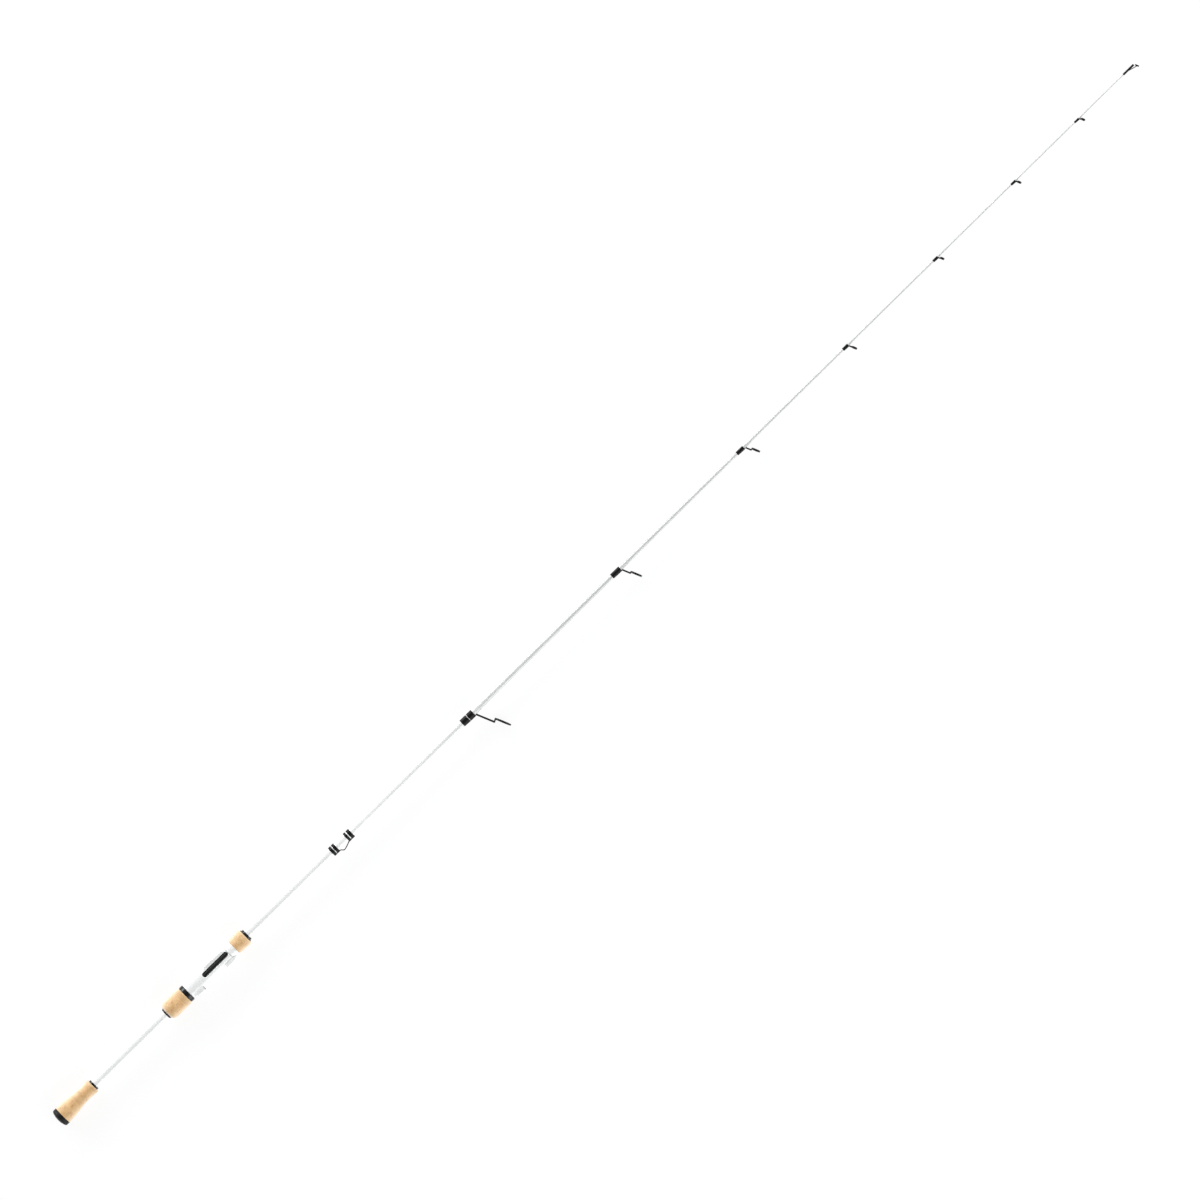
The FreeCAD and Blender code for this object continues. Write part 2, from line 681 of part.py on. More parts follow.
def tip_top():
    tube_solid = turned(
        (TIP_TUBE_START, between(BLANK, TIP_TUBE_START)),
        (TIP_TUBE_START, TIP_TUBE_RADIUS),
        (TIP_TUBE_END - 0.6, TIP_TUBE_RADIUS),
        ((TIP_TUBE_END - 0.2, TIP_TUBE_RADIUS - 0.25), (TIP_TUBE_END, 0.8)),
        (TIP_TUBE_END, 0.0),
        (BLANK_END, 0.0),
        (BLANK_END, BLANK[-1][1]),
    )
    b, off = TIP_RING_CENTRE
    rim_tube = placed(tube(TIP_RING_RADIUS, TIP_RING_RADIUS - 0.5, -0.6, 0.6), b, off)
    shape = tube_solid.fuse(rim_tube)
    lean = math.radians(GUIDE_LEAN)
    for side in (-1, 1):
        low = V(at(TIP_TUBE_START + 7.0), AXIS_Y - 0.6, side * 1.05)
        up = V(
            at(b) + math.sin(lean) * 0.6, AXIS_Y - off - math.cos(lean) * 0.6, side * (TIP_RING_RADIUS - 0.2)
        )
        brace = Part.makeCylinder(0.42, (up - low).Length, low, up - low)
        shape = shape.fuse(brace)
    inside = Part.makeCylinder(TIP_RING_RADIUS - 0.5, 6.0, V(-3, 0, 0), V(1, 0, 0))
    shape = shape.cut(placed(inside, b, off))
    wall = between(BLANK, TIP_TUBE_START)
    shape = shape.cut(
        turned((TIP_TUBE_START, 0.0), (TIP_TUBE_START, wall), (BLANK_END, BLANK[-1][1]), (BLANK_END, 0.0))
    )
    outer = TIP_RING_RADIUS - 0.5
    bead = Part.makePolygon(
        [
            V(-0.45, outer, 0),
            V(-0.8, outer - 0.12, 0),
            V(-0.3, TIP_RING_HOLE, 0),
            V(0.3, TIP_RING_HOLE, 0),
            V(0.8, outer - 0.12, 0),
            V(0.45, outer, 0),
            V(-0.45, outer, 0),
        ]
    )
    ring = Part.Face(bead).revolve(V(0, 0, 0), V(1, 0, 0), 360)
    return shape, placed(ring, b, off)


def save(name, shape):
    """Write one sub-part."""
    shape = shape.removeSplitter()
    solids = shape.Solids
    if len(solids) == 1:
        shape = solids[0]
    print(name, len(solids), round(shape.Volume, 2), shape.isValid())
    shape.exportStep("parts/" + name + ".step")


def build():
    os.makedirs("parts", exist_ok=True)
    rod = blank()
    envelope = turned((BLANK_START, 0.0), *BLANK, (BLANK_END, 0.0))
    save("blank", rod)
    save("butt_cap", butt_cap())
    for i, cork in enumerate(butt_corks()):
        save("butt_cork_%d" % (i + 1), cork)
    save("butt_trim", rounded_ring(BUTT_CORK_END, BUTT_TRIM_END, BUTT_TRIM_RADIUS, 6.75, 0.5))
    save("rear_check", rear_check())
    for i, cork in enumerate(rear_corks()):
        save("rear_cork_%d" % (i + 1), cork)
    save("rear_trim", rear_trim())
    save("reel_seat", reel_seat())
    save("seat_arbor_rear", arbor(SEAT_START + 1.0, 264.0))
    save("seat_arbor_front", arbor(316.0, BARREL_END))
    save("fixed_hood_liner", fixed_hood_liner())
    save("sliding_hood", sliding_hood())
    save("sliding_hood_liner", sliding_hood_liner())
    save("fore_nut", fore_nut())
    for i, cork in enumerate(fore_corks()):
        save("fore_cork_%d" % (i + 1), cork)
    save("fore_trim", fore_trim())
    save("keeper_wire", keeper_wire(KEEPER_WIRE, envelope))
    rear, front = keeper_wraps(keeper_wire(KEEPER_WIRE + 0.02, envelope), envelope)
    save("keeper_wrap_rear", rear)
    save("keeper_wrap_front", front)
    for name, wrap0, wrap1, ring_b, ring_off, radius, hole, step, thickness in GUIDES:
        end = SECOND_BAND[1] if name == "guide1" else wrap1
        frame, ring, foot = guide(wrap0, end, ring_b, ring_off, radius, hole, step, envelope)
        save(name + "_frame", frame)
        save(name + "_ring", ring)
        save(name + "_wrap", guide_wrap(wrap0, wrap1, thickness, foot, envelope, frame))
        if name == "guide1":
            save("guide1_trim", guide_wrap(*SECOND_BAND, thickness, foot, envelope, frame))
    tip, tip_ring = tip_top()
    save("tip_tube", tip)
    save("tip_ring", tip_ring)


build()
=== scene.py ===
import math

import bpy
import numpy as np
from mathutils import Matrix, Vector, noise


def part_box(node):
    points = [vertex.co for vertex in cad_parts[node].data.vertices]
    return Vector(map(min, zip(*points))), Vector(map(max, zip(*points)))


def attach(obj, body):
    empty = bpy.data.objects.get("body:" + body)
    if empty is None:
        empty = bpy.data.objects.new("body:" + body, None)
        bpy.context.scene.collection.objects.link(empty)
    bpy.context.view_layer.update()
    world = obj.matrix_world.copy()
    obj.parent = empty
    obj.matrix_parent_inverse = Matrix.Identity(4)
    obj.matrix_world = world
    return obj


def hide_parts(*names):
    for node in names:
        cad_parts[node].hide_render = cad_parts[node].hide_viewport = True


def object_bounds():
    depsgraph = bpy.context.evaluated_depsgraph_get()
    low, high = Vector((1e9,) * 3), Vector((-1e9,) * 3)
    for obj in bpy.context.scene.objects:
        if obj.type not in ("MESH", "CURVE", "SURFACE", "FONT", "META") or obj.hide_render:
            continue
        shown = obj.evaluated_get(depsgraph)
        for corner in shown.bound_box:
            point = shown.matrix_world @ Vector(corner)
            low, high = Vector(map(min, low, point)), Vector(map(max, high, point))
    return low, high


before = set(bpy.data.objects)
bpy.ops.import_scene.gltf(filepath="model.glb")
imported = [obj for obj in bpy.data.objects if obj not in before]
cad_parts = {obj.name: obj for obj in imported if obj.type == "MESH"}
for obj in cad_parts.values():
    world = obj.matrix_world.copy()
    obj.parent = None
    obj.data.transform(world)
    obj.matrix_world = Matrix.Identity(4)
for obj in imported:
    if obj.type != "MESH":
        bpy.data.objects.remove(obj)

cad_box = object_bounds()

# Shapes are worked out in millimetres in rod coordinates: b is the distance from the butt end, o is
# the distance from the rod axis towards the reel and the guides, and z is across both. put() turns
# them into the frame's metres.
MM = 0.001
BUTT_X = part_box("butt_cap")[0][0]
AXIS_Y = (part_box("butt_cap")[0][1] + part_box("butt_cap")[1][1]) / 2


def put(points):
    """Rod coordinates, an N by 3 array in millimetres, as points of the frame in metres."""
    p = np.asarray(points, float)
    return np.column_stack((BUTT_X + p[:, 0] * MM, AXIS_Y - p[:, 1] * MM, p[:, 2] * MM))


def span(node):
    """The distances from the butt where a CAD node starts and ends, in millimetres."""
    low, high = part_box(node)
    return (low[0] - BUTT_X) / MM, (high[0] - BUTT_X) / MM


def reach(node):
    """Half the height of a CAD node that is round about the rod axis, in millimetres."""
    low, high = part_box(node)
    return (high[2] - low[2]) / 2 / MM


# ---------------------------------------------------------------- camera, lights and floor

ROLL = math.radians(44.457)  # the rod climbs to the upper right by this angle
VIEW_WIDTH = 1.5745  # metres of the rod's own level across the picture
VIEW_DISTANCE = 14.0
VIEW_CENTRE = (985.3, 11.07)  # b and o of the picture's centre, in millimetres
SENSOR = 36.0
FLOOR_HALF = 12.0
FLOOR_GAP = 0.0006  # between the floor and the lowest point of the rod
FLOOR_TONE = 0.14
FLOOR_GLOW = 0.86
KEY_POWER = 62.0
FILL_POWER = 48.0


def make_camera():
    """The camera looks straight down on the rod, which lies on its side."""
    data = bpy.data.cameras.new("camera")
    data.sensor_width = SENSOR
    data.lens = SENSOR * VIEW_DISTANCE / VIEW_WIDTH
    data.clip_end = 60.0
    camera = bpy.data.objects.new("camera", data)
    bpy.context.scene.collection.objects.link(camera)
    centre = put([(*VIEW_CENTRE, 0.0)])[0]
    c = math.cos(ROLL)
    s = math.sin(ROLL)
    turn = Matrix(((c, s, 0.0), (-s, c, 0.0), (0.0, 0.0, 1.0)))
    place = Vector(centre) + Vector((0, 0, VIEW_DISTANCE))
    camera.matrix_world = Matrix.Translation(place) @ turn.to_4x4()
    bpy.context.scene.camera = camera


def area_light(name, place, target, size, power):
    """A white rectangular light at place, turned towards target."""
    data = bpy.data.lights.new(name, "AREA")
    data.shape = "RECTANGLE"
    data.size, data.size_y = size
    data.energy = power
    light = bpy.data.objects.new(name, data)
    bpy.context.scene.collection.objects.link(light)
    light.location = place
    light.rotation_mode = "QUATERNION"
    light.rotation_quaternion = (Vector(target) - Vector(place)).to_track_quat("-Z", "Y")


def make_room():
    """A plain room, bright towards the horizon and nearly dark straight overhead."""
    world = bpy.data.worlds.new("room")
    world.use_nodes = True
    nodes = world.node_tree.nodes
    links = world.node_tree.links
    coordinate = nodes.new("ShaderNodeTexCoord")
    parts = nodes.new("ShaderNodeSeparateXYZ")
    links.new(coordinate.outputs["Generated"], parts.inputs["Vector"])
    stops = [
        (0.0, (1.1, 1.13, 1.14)),
        (0.5, (0.64, 0.66, 0.665)),
        (0.88, (0.44, 0.455, 0.46)),
        (0.97, (0.15, 0.155, 0.16)),
        (1.0, (0.1, 0.1, 0.1)),
    ]
    tone = ramp_node(nodes, links, parts.outputs["Z"], stops)
    links.new(tone, nodes["Background"].inputs["Color"])
    bpy.context.scene.world = world
    bpy.context.scene.view_settings.view_transform = "Standard"


def make_studio():
    """A pale floor that glows, so that shadows stay soft, a grey room and two long soft lights."""
    low, high = cad_box
    middle = (low + high) / 2
    make_room()
    key_place = (middle.x - 0.2, middle.y + 2.2, 0.65)
    fill_place = (middle.x + 0.2, middle.y - 2.2, 0.9)
    area_light("key", key_place, middle, (3.4, 0.95), KEY_POWER)
    area_light("fill", fill_place, middle, (3.6, 2.0), FILL_POWER)
    mesh = bpy.data.meshes.new("floor")
    half = FLOOR_HALF
    z = low.z - FLOOR_GAP
    corners = [(-half, -half, z), (half, -half, z), (half, half, z), (-half, half, z)]
    mesh.from_pydata(corners, [], [(0, 1, 2, 3)])
    floor = bpy.data.objects.new("floor", mesh)
    bpy.context.scene.collection.objects.link(floor)
    material, nodes, links, shader = new_material("floor")
    set_inputs(shader, {"Base Color": (FLOOR_TONE, FLOOR_TONE, FLOOR_TONE, 1), "Roughness": 0.9})
    set_inputs(shader, {"Emission Color": (1, 1, 1, 1), "Emission Strength": FLOOR_GLOW})
    mesh.materials.append(material)


# ---------------------------------------------------------------- materials

WHITE_PAINT = [(0.3, (0.84, 0.845, 0.84)), (0.7, (0.9, 0.9, 0.89))]
# Painted shade: a greyed white that the slim half of the blank is painted with
SHADED_SLIM_PAINT = [(0.3, (0.57, 0.575, 0.57)), (0.7, (0.63, 0.63, 0.625))]
CARBON = [(0.2, (0.003, 0.003, 0.004)), (0.8, (0.013, 0.013, 0.014))]
SHADE_FROM = 620.0  # b where the painted shade on the slim half starts
SHADE_TO = 880.0  # b where the painted shade is full
CORK_PORE = (0.3, 0.16, 0.07)
# Painted sheen: the pale tone that the cork's colour is mixed towards at its edges
CORK_PAINTED_SHEEN = (0.93, 0.86, 0.7)


def new_material(name):
    material = bpy.data.materials.new(name)
    material.use_nodes = True
    nodes = material.node_tree.nodes
    return material, nodes, material.node_tree.links, nodes["Principled BSDF"]


def set_inputs(node, values):
    """Sets inputs of a node by name."""
    for name, value in values.items():
        node.inputs[name].default_value = value


def place_node(nodes, links, scale=(1.0, 1.0, 1.0), shift=(0.0, 0.0, 0.0)):
    """Object coordinates in metres, scaled and shifted, so that patterns need no unwrapping."""
    coordinate = nodes.new("ShaderNodeTexCoord")
    mapping = nodes.new("ShaderNodeMapping")
    set_inputs(mapping, {"Scale": scale, "Location": shift})
    links.new(coordinate.outputs["Object"], mapping.inputs["Vector"])
    return mapping.outputs["Vector"]


def noise_node(nodes, links, vector, scale, detail=4.0, roughness=0.55):
    node = nodes.new("ShaderNodeTexNoise")
    set_inputs(node, {"Scale": scale, "Detail": detail, "Roughness": roughness})
    links.new(vector, node.inputs["Vector"])
    return node.outputs["Fac"]


def ramp_node(nodes, links, value, stops):
    """A colour ramp; stops are (position, (r, g, b))."""
    node = nodes.new("ShaderNodeValToRGB")
    ramp = node.color_ramp
    while len(ramp.elements) < len(stops):
        ramp.elements.new(0.5)
    for element, (position, colour) in zip(ramp.elements, stops):
        element.position = position
        element.color = (*colour, 1.0)
    links.new(value, node.inputs["Fac"])
    return node.outputs["Color"]


def mix_node(nodes, links, factor, first, second, blend="MIX"):
    """Two colours mixed; each of factor, first and second is a value or another node's output."""
    node = nodes.new("ShaderNodeMix")
    node.data_type = "RGBA"
    node.blend_type = blend
    for number, value in ((0, factor), (6, first), (7, second)):
        socket = node.inputs[number]
        if isinstance(value, (int, float)):
            socket.default_value = value
        elif isinstance(value, tuple):
            socket.default_value = (*value, 1.0)
        else:
            links.new(value, socket)
    return node.outputs[2]


def range_node(nodes, links, value, low, high, start=0.0, end=1.0):
    """value from start to end as a number from low to high."""
    node = nodes.new("ShaderNodeMapRange")
    set_inputs(node, {"From Min": start, "From Max": end, "To Min": low, "To Max": high})
    links.new(value, node.inputs["Value"])
    return node.outputs["Result"]


def bump_node(nodes, links, shader, height, distance, strength=1.0):
    node = nodes.new("ShaderNodeBump")
    set_inputs(node, {"Strength": strength, "Distance": distance})
    links.new(height, node.inputs["Height"])
    links.new(node.outputs["Normal"], shader.inputs["Normal"])


def gloss(name, stops, roughness, coat=0.0, shine=0.5):
    """Polished plastic or paint: a faint mottle between two close colours, and uneven polish."""
    material, nodes, links, shader = new_material(name)
    vector = place_node(nodes, links)
    fine = noise_node(nodes, links, vector, 900.0, 3.0)
    broad = noise_node(nodes, links, vector, 45.0, 2.0)
    links.new(ramp_node(nodes, links, fine, stops), shader.inputs["Base Color"])
    polish = range_node(nodes, links, broad, roughness * 0.7, roughness * 1.4)
    links.new(polish, shader.inputs["Roughness"])
    set_inputs(shader, {"Coat Weight": coat, "Coat Roughness": 0.04, "Specular IOR Level": shine})
    bump_node(nodes, links, shader, broad, 0.00008, 0.25)
    return material


def blank_paint():
    """White gloss paint, greyed on the slim half by painted shade; bare carbon inside the reel
    seat.
    """
    material, nodes, links, shader = new_material("blank_paint")
    vector = place_node(nodes, links)
    broad = noise_node(nodes, links, vector, 30.0, 2.0)
    parts = nodes.new("ShaderNodeSeparateXYZ")
    links.new(vector, parts.inputs["Vector"])
    thick = ramp_node(nodes, links, broad, WHITE_PAINT)
    # Painted shade: the white turns to a grey along the slim half of the blank
    thin = ramp_node(nodes, links, broad, SHADED_SLIM_PAINT)
    grey_x = put([(SHADE_FROM, 0, 0), (SHADE_TO, 0, 0)])[:, 0]
    painted_shade = range_node(nodes, links, parts.outputs["X"], 0.0, 1.0, *grey_x)
    white = mix_node(nodes, links, painted_shade, thick, thin)
    weave = nodes.new("ShaderNodeTexWave")
    set_inputs(weave, {"Scale": 160.0, "Distortion": 2.0, "Detail": 2.0})
    links.new(vector, weave.inputs["Vector"])
    carbon = ramp_node(nodes, links, weave.outputs["Fac"], CARBON)
    inside = nodes.new("ShaderNodeMath")
    inside.operation = "COMPARE"
    start, end = span("reel_seat")
    inside.inputs[1].default_value = put([((start + end) / 2, 0, 0)])[0][0]
    inside.inputs[2].default_value = (end - start) / 2 * MM
    links.new(parts.outputs["X"], inside.inputs[0])
    colour = mix_node(nodes, links, inside.outputs["Value"], white, carbon)
    links.new(colour, shader.inputs["Base Color"])
    links.new(range_node(nodes, links, broad, 0.1, 0.2), shader.inputs["Roughness"])
    set_inputs(shader, {"Coat Weight": 0.8, "Coat Roughness": 0.03})
    bump_node(nodes, links, shader, broad, 0.00005, 0.2)
    return material


def cork_material(index):
    """Natural cork: a drifting warm tan, short dark pores, fine grain, and a pale painted sheen
    towards the edges.
    """
    material, nodes, links, shader = new_material("cork_%d" % index)
    drift = (0.37 * index, 0.19 * index, 0.53 * index)
    even = place_node(nodes, links, (1, 1, 1), drift)
    streaked = place_node(nodes, links, (0.3, 1, 1), drift)
    broad = noise_node(nodes, links, even, 130.0, 5.0, 0.6)
    tone = 0.97 + 0.05 * math.sin(index * 2.4)
    light = (0.80 * tone, 0.53 * tone, 0.265 * tone)
    middle = (0.72 * tone, 0.435 * tone, 0.195 * tone)
    deep = (0.60 * tone, 0.33 * tone, 0.13 * tone)
    base = ramp_node(nodes, links, broad, [(0.28, deep), (0.48, middle), (0.7, light)])
    pores = noise_node(nodes, links, streaked, 620.0, 3.0, 0.5)
    pore_mask = ramp_node(nodes, links, pores, [(0.64, (0, 0, 0)), (0.74, (1, 1, 1))])
    colour = mix_node(nodes, links, pore_mask, base, CORK_PORE)
    grain = noise_node(nodes, links, even, 2600.0, 3.0, 0.6)
    grain_stops = [(0.3, (0.86, 0.84, 0.8)), (0.7, (1.06, 1.06, 1.06))]
    grain_tone = ramp_node(nodes, links, grain, grain_stops)
    colour = mix_node(nodes, links, 1.0, colour, grain_tone, "MULTIPLY")
    # Painted sheen: the colour turns pale where the surface faces away from the view
    turn = nodes.new("ShaderNodeLayerWeight")
    turn.inputs["Blend"].default_value = 0.5
    painted_sheen = range_node(nodes, links, turn.outputs["Facing"], 0.02, 0.52, 0.03, 0.7)
    colour = mix_node(nodes, links, painted_sheen, colour, CORK_PAINTED_SHEEN)
    links.new(colour, shader.inputs["Base Color"])
    links.new(range_node(nodes, links, grain, 0.62, 0.88), shader.inputs["Roughness"])
    set_inputs(shader, {"Specular IOR Level": 0.4, "Sheen Weight": 0.35, "Sheen Roughness": 0.5})
    bump_node(nodes, links, shader, grain, 0.00012, 0.5)
    return material


def wound_thread():
    """Black thread wound side by side, under a smooth clear finish."""
    material, nodes, links, shader = new_material("thread_black")
    vector = place_node(nodes, links)
    wave = nodes.new("ShaderNodeTexWave")
    set_inputs(wave, {"Scale": math.pi / 10 / (THREAD_WIDTH * MM), "Distortion": 0.4})
    links.new(vector, wave.inputs["Vector"])
    stops = [(0.1, (0.002, 0.002, 0.002)), (0.8, (0.01, 0.01, 0.01))]
    tone = ramp_node(nodes, links, wave.outputs["Fac"], stops)
    links.new(tone, shader.inputs["Base Color"])
    set_inputs(shader, {"Roughness": 0.4, "Specular IOR Level": 0.06, "Coat Weight": 0.14})
    broad = noise_node(nodes, links, vector, 220.0, 2.0)
    links.new(range_node(nodes, links, broad, 0.02, 0.06), shader.inputs["Coat Roughness"])
    bump_node(nodes, links, shader, wave.outputs["Fac"], 0.00003, 0.6)
    return material


def soft_black(name, roughness, grain):
    """Matt rubber or plastic with a fine moulded grain."""
    material, nodes, links, shader = new_material(name)
    vector = place_node(nodes, links)
    fine = noise_node(nodes, links, vector, grain, 4.0)
    stops = [(0.3, (0.003, 0.003, 0.003)), (0.7, (0.008, 0.008, 0.008))]
    set_inputs(shader, {"Specular IOR Level": 0.25})
    links.new(ramp_node(nodes, links, fine, stops), shader.inputs["Base Color"])
    uneven = range_node(nodes, links, fine, roughness - 0.08, roughness + 0.1)
    links.new(uneven, shader.inputs["Roughness"])
    bump_node(nodes, links, shader, fine, 0.00006, 0.5)
    return material


def make_materials():
    trim = [(0.3, (0.004, 0.004, 0.004)), (0.7, (0.009, 0.009, 0.009))]
    metal = [(0.3, (0.003, 0.003, 0.003)), (0.7, (0.008, 0.008, 0.008))]
    ceramic = [(0.3, (0.003, 0.003, 0.004)), (0.7, (0.008, 0.008, 0.009))]
    return {
        "blank": blank_paint(),
        "seat": gloss("seat_white", WHITE_PAINT, 0.2, coat=0.5),
        "black": gloss("trim_black", trim, 0.14, shine=0.4),
        "thread": wound_thread(),
        "metal": gloss("guide_black", metal, 0.36, shine=0.22),
        "ceramic": gloss("ring_black", ceramic, 0.16, shine=0.3),
        "rubber": soft_black("cap_rubber", 0.5, 1400.0),
        "plastic": soft_black("inner_black", 0.42, 900.0),
    }


# ---------------------------------------------------------------- mesh making


def finish_piece(name, mesh, material, body, nodes, sharp=40.0):
    """Links a piece, parents it to the body it rides on and hides the CAD nodes it stands for."""
    mesh.validate()
    mesh.materials.append(material)
    mesh.polygons.foreach_set("use_smooth", [True] * len(mesh.polygons))
    if sharp:
        mesh.set_sharp_from_angle(angle=math.radians(sharp))
    piece = bpy.data.objects.new(name, mesh)
    bpy.context.scene.collection.objects.link(piece)
    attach(piece, body)
    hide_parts(*nodes)


def eased_outline(corners, radius, steps=5):
    """A closed outline of (b, r) corners with each corner rounded by up to radius."""
    points = []
    count = len(corners)
    for i, corner in enumerate(corners):
        here = np.array(corner, float)
        before = np.array(corners[i - 1], float)
        after = np.array(corners[(i + 1) % count], float)
        to_before = before - here
        to_after = after - here
        cut = min(radius, np.linalg.norm(to_before) * 0.45, np.linalg.norm(to_after) * 0.45)
        a = here + to_before / np.linalg.norm(to_before) * cut
        c = here + to_after / np.linalg.norm(to_after) * cut
        for k in range(steps + 1):
            t = k / steps
            points.append(tuple((1 - t) ** 2 * a + 2 * t * (1 - t) * here + t * t * c))
    return points


def grid_faces(rows, count, first, closed_rows):
    """Quads between neighbouring rings of a grid whose points start at number first."""
    faces = []
    for i in range(rows if closed_rows else rows - 1):
        a = first + i * count
        c = first + (i + 1) % rows * count
        for k in range(count):
            m = (k + 1) % count
            faces.append((a + k, c + k, c + m, a + m))
    return faces


def grid_mesh(name, rings, closed_rows):
    """A mesh from equal closed rings of points; closed_rows joins the last ring to the first."""
    rows = len(rings)
    count = len(rings[0])
    faces = grid_faces(rows, count, 0, closed_rows)
    if not closed_rows:
        faces.append(tuple(range(count)))
        faces.append(tuple((rows - 1) * count + k for k in reversed(range(count))))
    mesh = bpy.data.meshes.new(name)
    mesh.from_pydata(put(np.concatenate(rings)).tolist(), [], faces)
    return mesh


def skins_mesh(name, skins):
    """One mesh from several closed grids."""
    faces = []
    points = []
    for rings in skins:
        faces += grid_faces(len(rings), len(rings[0]), sum(len(p) for p in points), True)
        points += rings
    mesh = bpy.data.meshes.new(name)
    mesh.from_pydata(put(np.concatenate(points)).tolist(), [], faces)
    return mesh


def full_turn(segments):
    """The angles of a ring's points."""
    return np.arange(segments) * 2 * math.pi / segments


def ring_at(b, r, angle):
    """Points at place b along an axis and radius r from it; r may differ for each angle."""
    return np.column_stack((np.full(len(angle), b), r * np.cos(angle), r * np.sin(angle)))


def lathe(name, outline, segments, closed):
    """Turned about the rod axis from (b, r) points.

    A closed outline makes a ring; an open one makes a solid whose ends are flat discs."""
    angle = full_turn(segments)
    mesh = grid_mesh(name, [ring_at(b, r, angle) for b, r in outline], closed)
    outward(mesh)
    return mesh


def outward(mesh):
    """Turns all the faces of a closed mesh to face out."""
    volume = 0.0
    mesh.calc_loop_triangles()
    for triangle in mesh.loop_triangles:
        a, b, c = (mesh.vertices[i].co for i in triangle.vertices)
        volume += a.dot(b.cross(c))
    if volume < 0:
        mesh.flip_normals()


def surface_net(field, low, step):
    """Points and quads of the surface where a field on a grid goes from negative to positive."""
    inside = field < 0
    counts = np.zeros(tuple(n - 1 for n in field.shape), np.uint8)
    for dx in (0, 1):
        for dy in (0, 1):
            for dz in (0, 1):
                nx, ny, nz = counts.shape
                counts += inside[dx : dx + nx, dy : dy + ny, dz : dz + nz]
    cells = np.argwhere((counts > 0) & (counts < 8))
    number = np.full(counts.shape, -1, np.int32)
    number[tuple(cells.T)] = np.arange(len(cells))
    total = np.zeros((len(cells), 3))
    hits = np.zeros(len(cells))
    corners = [(x, y, z) for x in (0, 1) for y in (0, 1) for z in (0, 1)]
    for a in corners:
        for c in corners:
            if sum(c) - sum(a) == 1 and all(q >= p for p, q in zip(a, c)):
                start = field[tuple((cells + a).T)]
                end = field[tuple((cells + c).T)]
                crosses = (start < 0) != (end < 0)
                t = np.where(crosses, start / np.where(crosses, start - end, 1.0), 0.0)
                where = cells + np.array(a) + t[:, None] * (np.array(c) - np.array(a))
                total += where * crosses[:, None]
                hits += crosses
    points = np.array(low) + total / hits[:, None] * step
    quads = []
    for axis in range(3):
        first = [slice(None)] * 3
        second = [slice(None)] * 3
        first[axis] = slice(0, -1)
        second[axis] = slice(1, None)
        a = inside[tuple(first)]
        c = inside[tuple(second)]
        edges = np.argwhere(a != c)
        u = (axis + 1) % 3
        w = (axis + 2) % 3
        fits = (edges[:, u] > 0) & (edges[:, w] > 0)
        fits &= (edges[:, u] < field.shape[u] - 1) & (edges[:, w] < field.shape[w] - 1)
        edges = edges[fits]
        step_u = np.eye(3, dtype=int)[u]
        step_w = np.eye(3, dtype=int)[w]
        around = [edges - step_u - step_w, edges - step_w, edges, edges - step_u]
        quad = np.column_stack([number[tuple(e.T)] for e in around])
        flip = ~a[tuple(edges.T)]
        quad[flip] = quad[flip][:, ::-1]
        quads.append(quad)
    return points, np.concatenate(quads)


BLOCK = 8  # grid cells along one side of a block that is skipped when it is far from the surface


def carved(name, distance, low, high, step):
    """A mesh of the surface where distance(b, o, z) is zero, found on a grid from low to high.

    distance is about the real distance, so blocks of the grid far from it aren't worked out."""
    low = np.array(low, float)
    shape = np.ceil((np.array(high, float) - low) / (step * BLOCK)).astype(int)
    size = shape * BLOCK + 1
    centres = np.indices(tuple(shape)).reshape(3, -1).T * BLOCK + BLOCK / 2
    middle = distance(*(low + centres * step).T)
    near = np.abs(middle) < BLOCK * step * 1.6
    field = middle.reshape(tuple(shape)).astype(np.float32)
    for axis in range(3):
        field = np.repeat(field, BLOCK, axis)
    field = np.pad(field, ((0, 1), (0, 1), (0, 1)), mode="edge")
    known = np.zeros(tuple(size), bool)
    for i, j, k in (centres[near] - BLOCK / 2).astype(int):
        known[i : i + BLOCK + 1, j : j + BLOCK + 1, k : k + BLOCK + 1] = True
    wanted = np.argwhere(known)
    for chunk in np.array_split(wanted, max(1, len(wanted) // 400000)):
        field[tuple(chunk.T)] = distance(*(low + chunk * step).T)
    points, quads = surface_net(field, low, step)
    for _ in range(2):
        points = settled(points, distance, step / 4)
    mesh = bpy.data.meshes.new(name)
    mesh.from_pydata(put(points).tolist(), [], quads.tolist())
    outward(mesh)
    return mesh


def settled(points, distance, small):
    """Points moved onto the surface along the slope of the distance."""
    here = distance(*points.T)
    slope = np.zeros_like(points)
    for axis in range(3):
        shifted = points.copy()
        shifted[:, axis] += small
        slope[:, axis] = (distance(*shifted.T) - here) / small
    length = np.maximum((slope**2).sum(1), 0.2)
    move = -(here / length)[:, None] * slope
    size = np.linalg.norm(move, axis=1)
    move *= np.minimum(1.0, small * 2 / np.maximum(size, 1e-9))[:, None]
    return points + move


def joined(a, c, blend):
    """The union of two distances, with a fillet of about blend."""
    h = np.clip(0.5 + 0.5 * (c - a) / blend, 0, 1)
    return c + (a - c) * h - blend * h * (1 - h)


def without(a, c, blend):
    """a with c taken away, with an eased edge of about blend."""
    return -joined(-a, c, blend)


def both(a, c, blend):
    """Where a and c are both inside, with an eased edge."""
    return -joined(-a, -c, blend)


def slab(v, low, high):
    """Distance to the space between two planes."""
    return np.maximum(low - v, v - high)


def rounded_box(p, q, half_p, half_q, radius):
    """Distance in a plane to a rectangle with rounded corners, about the origin."""
    x = np.abs(p) - (half_p - radius)
    y = np.abs(q) - (half_q - radius)
    outside = np.hypot(np.maximum(x, 0), np.maximum(y, 0))
    return outside + np.minimum(np.maximum(x, y), 0) - radius


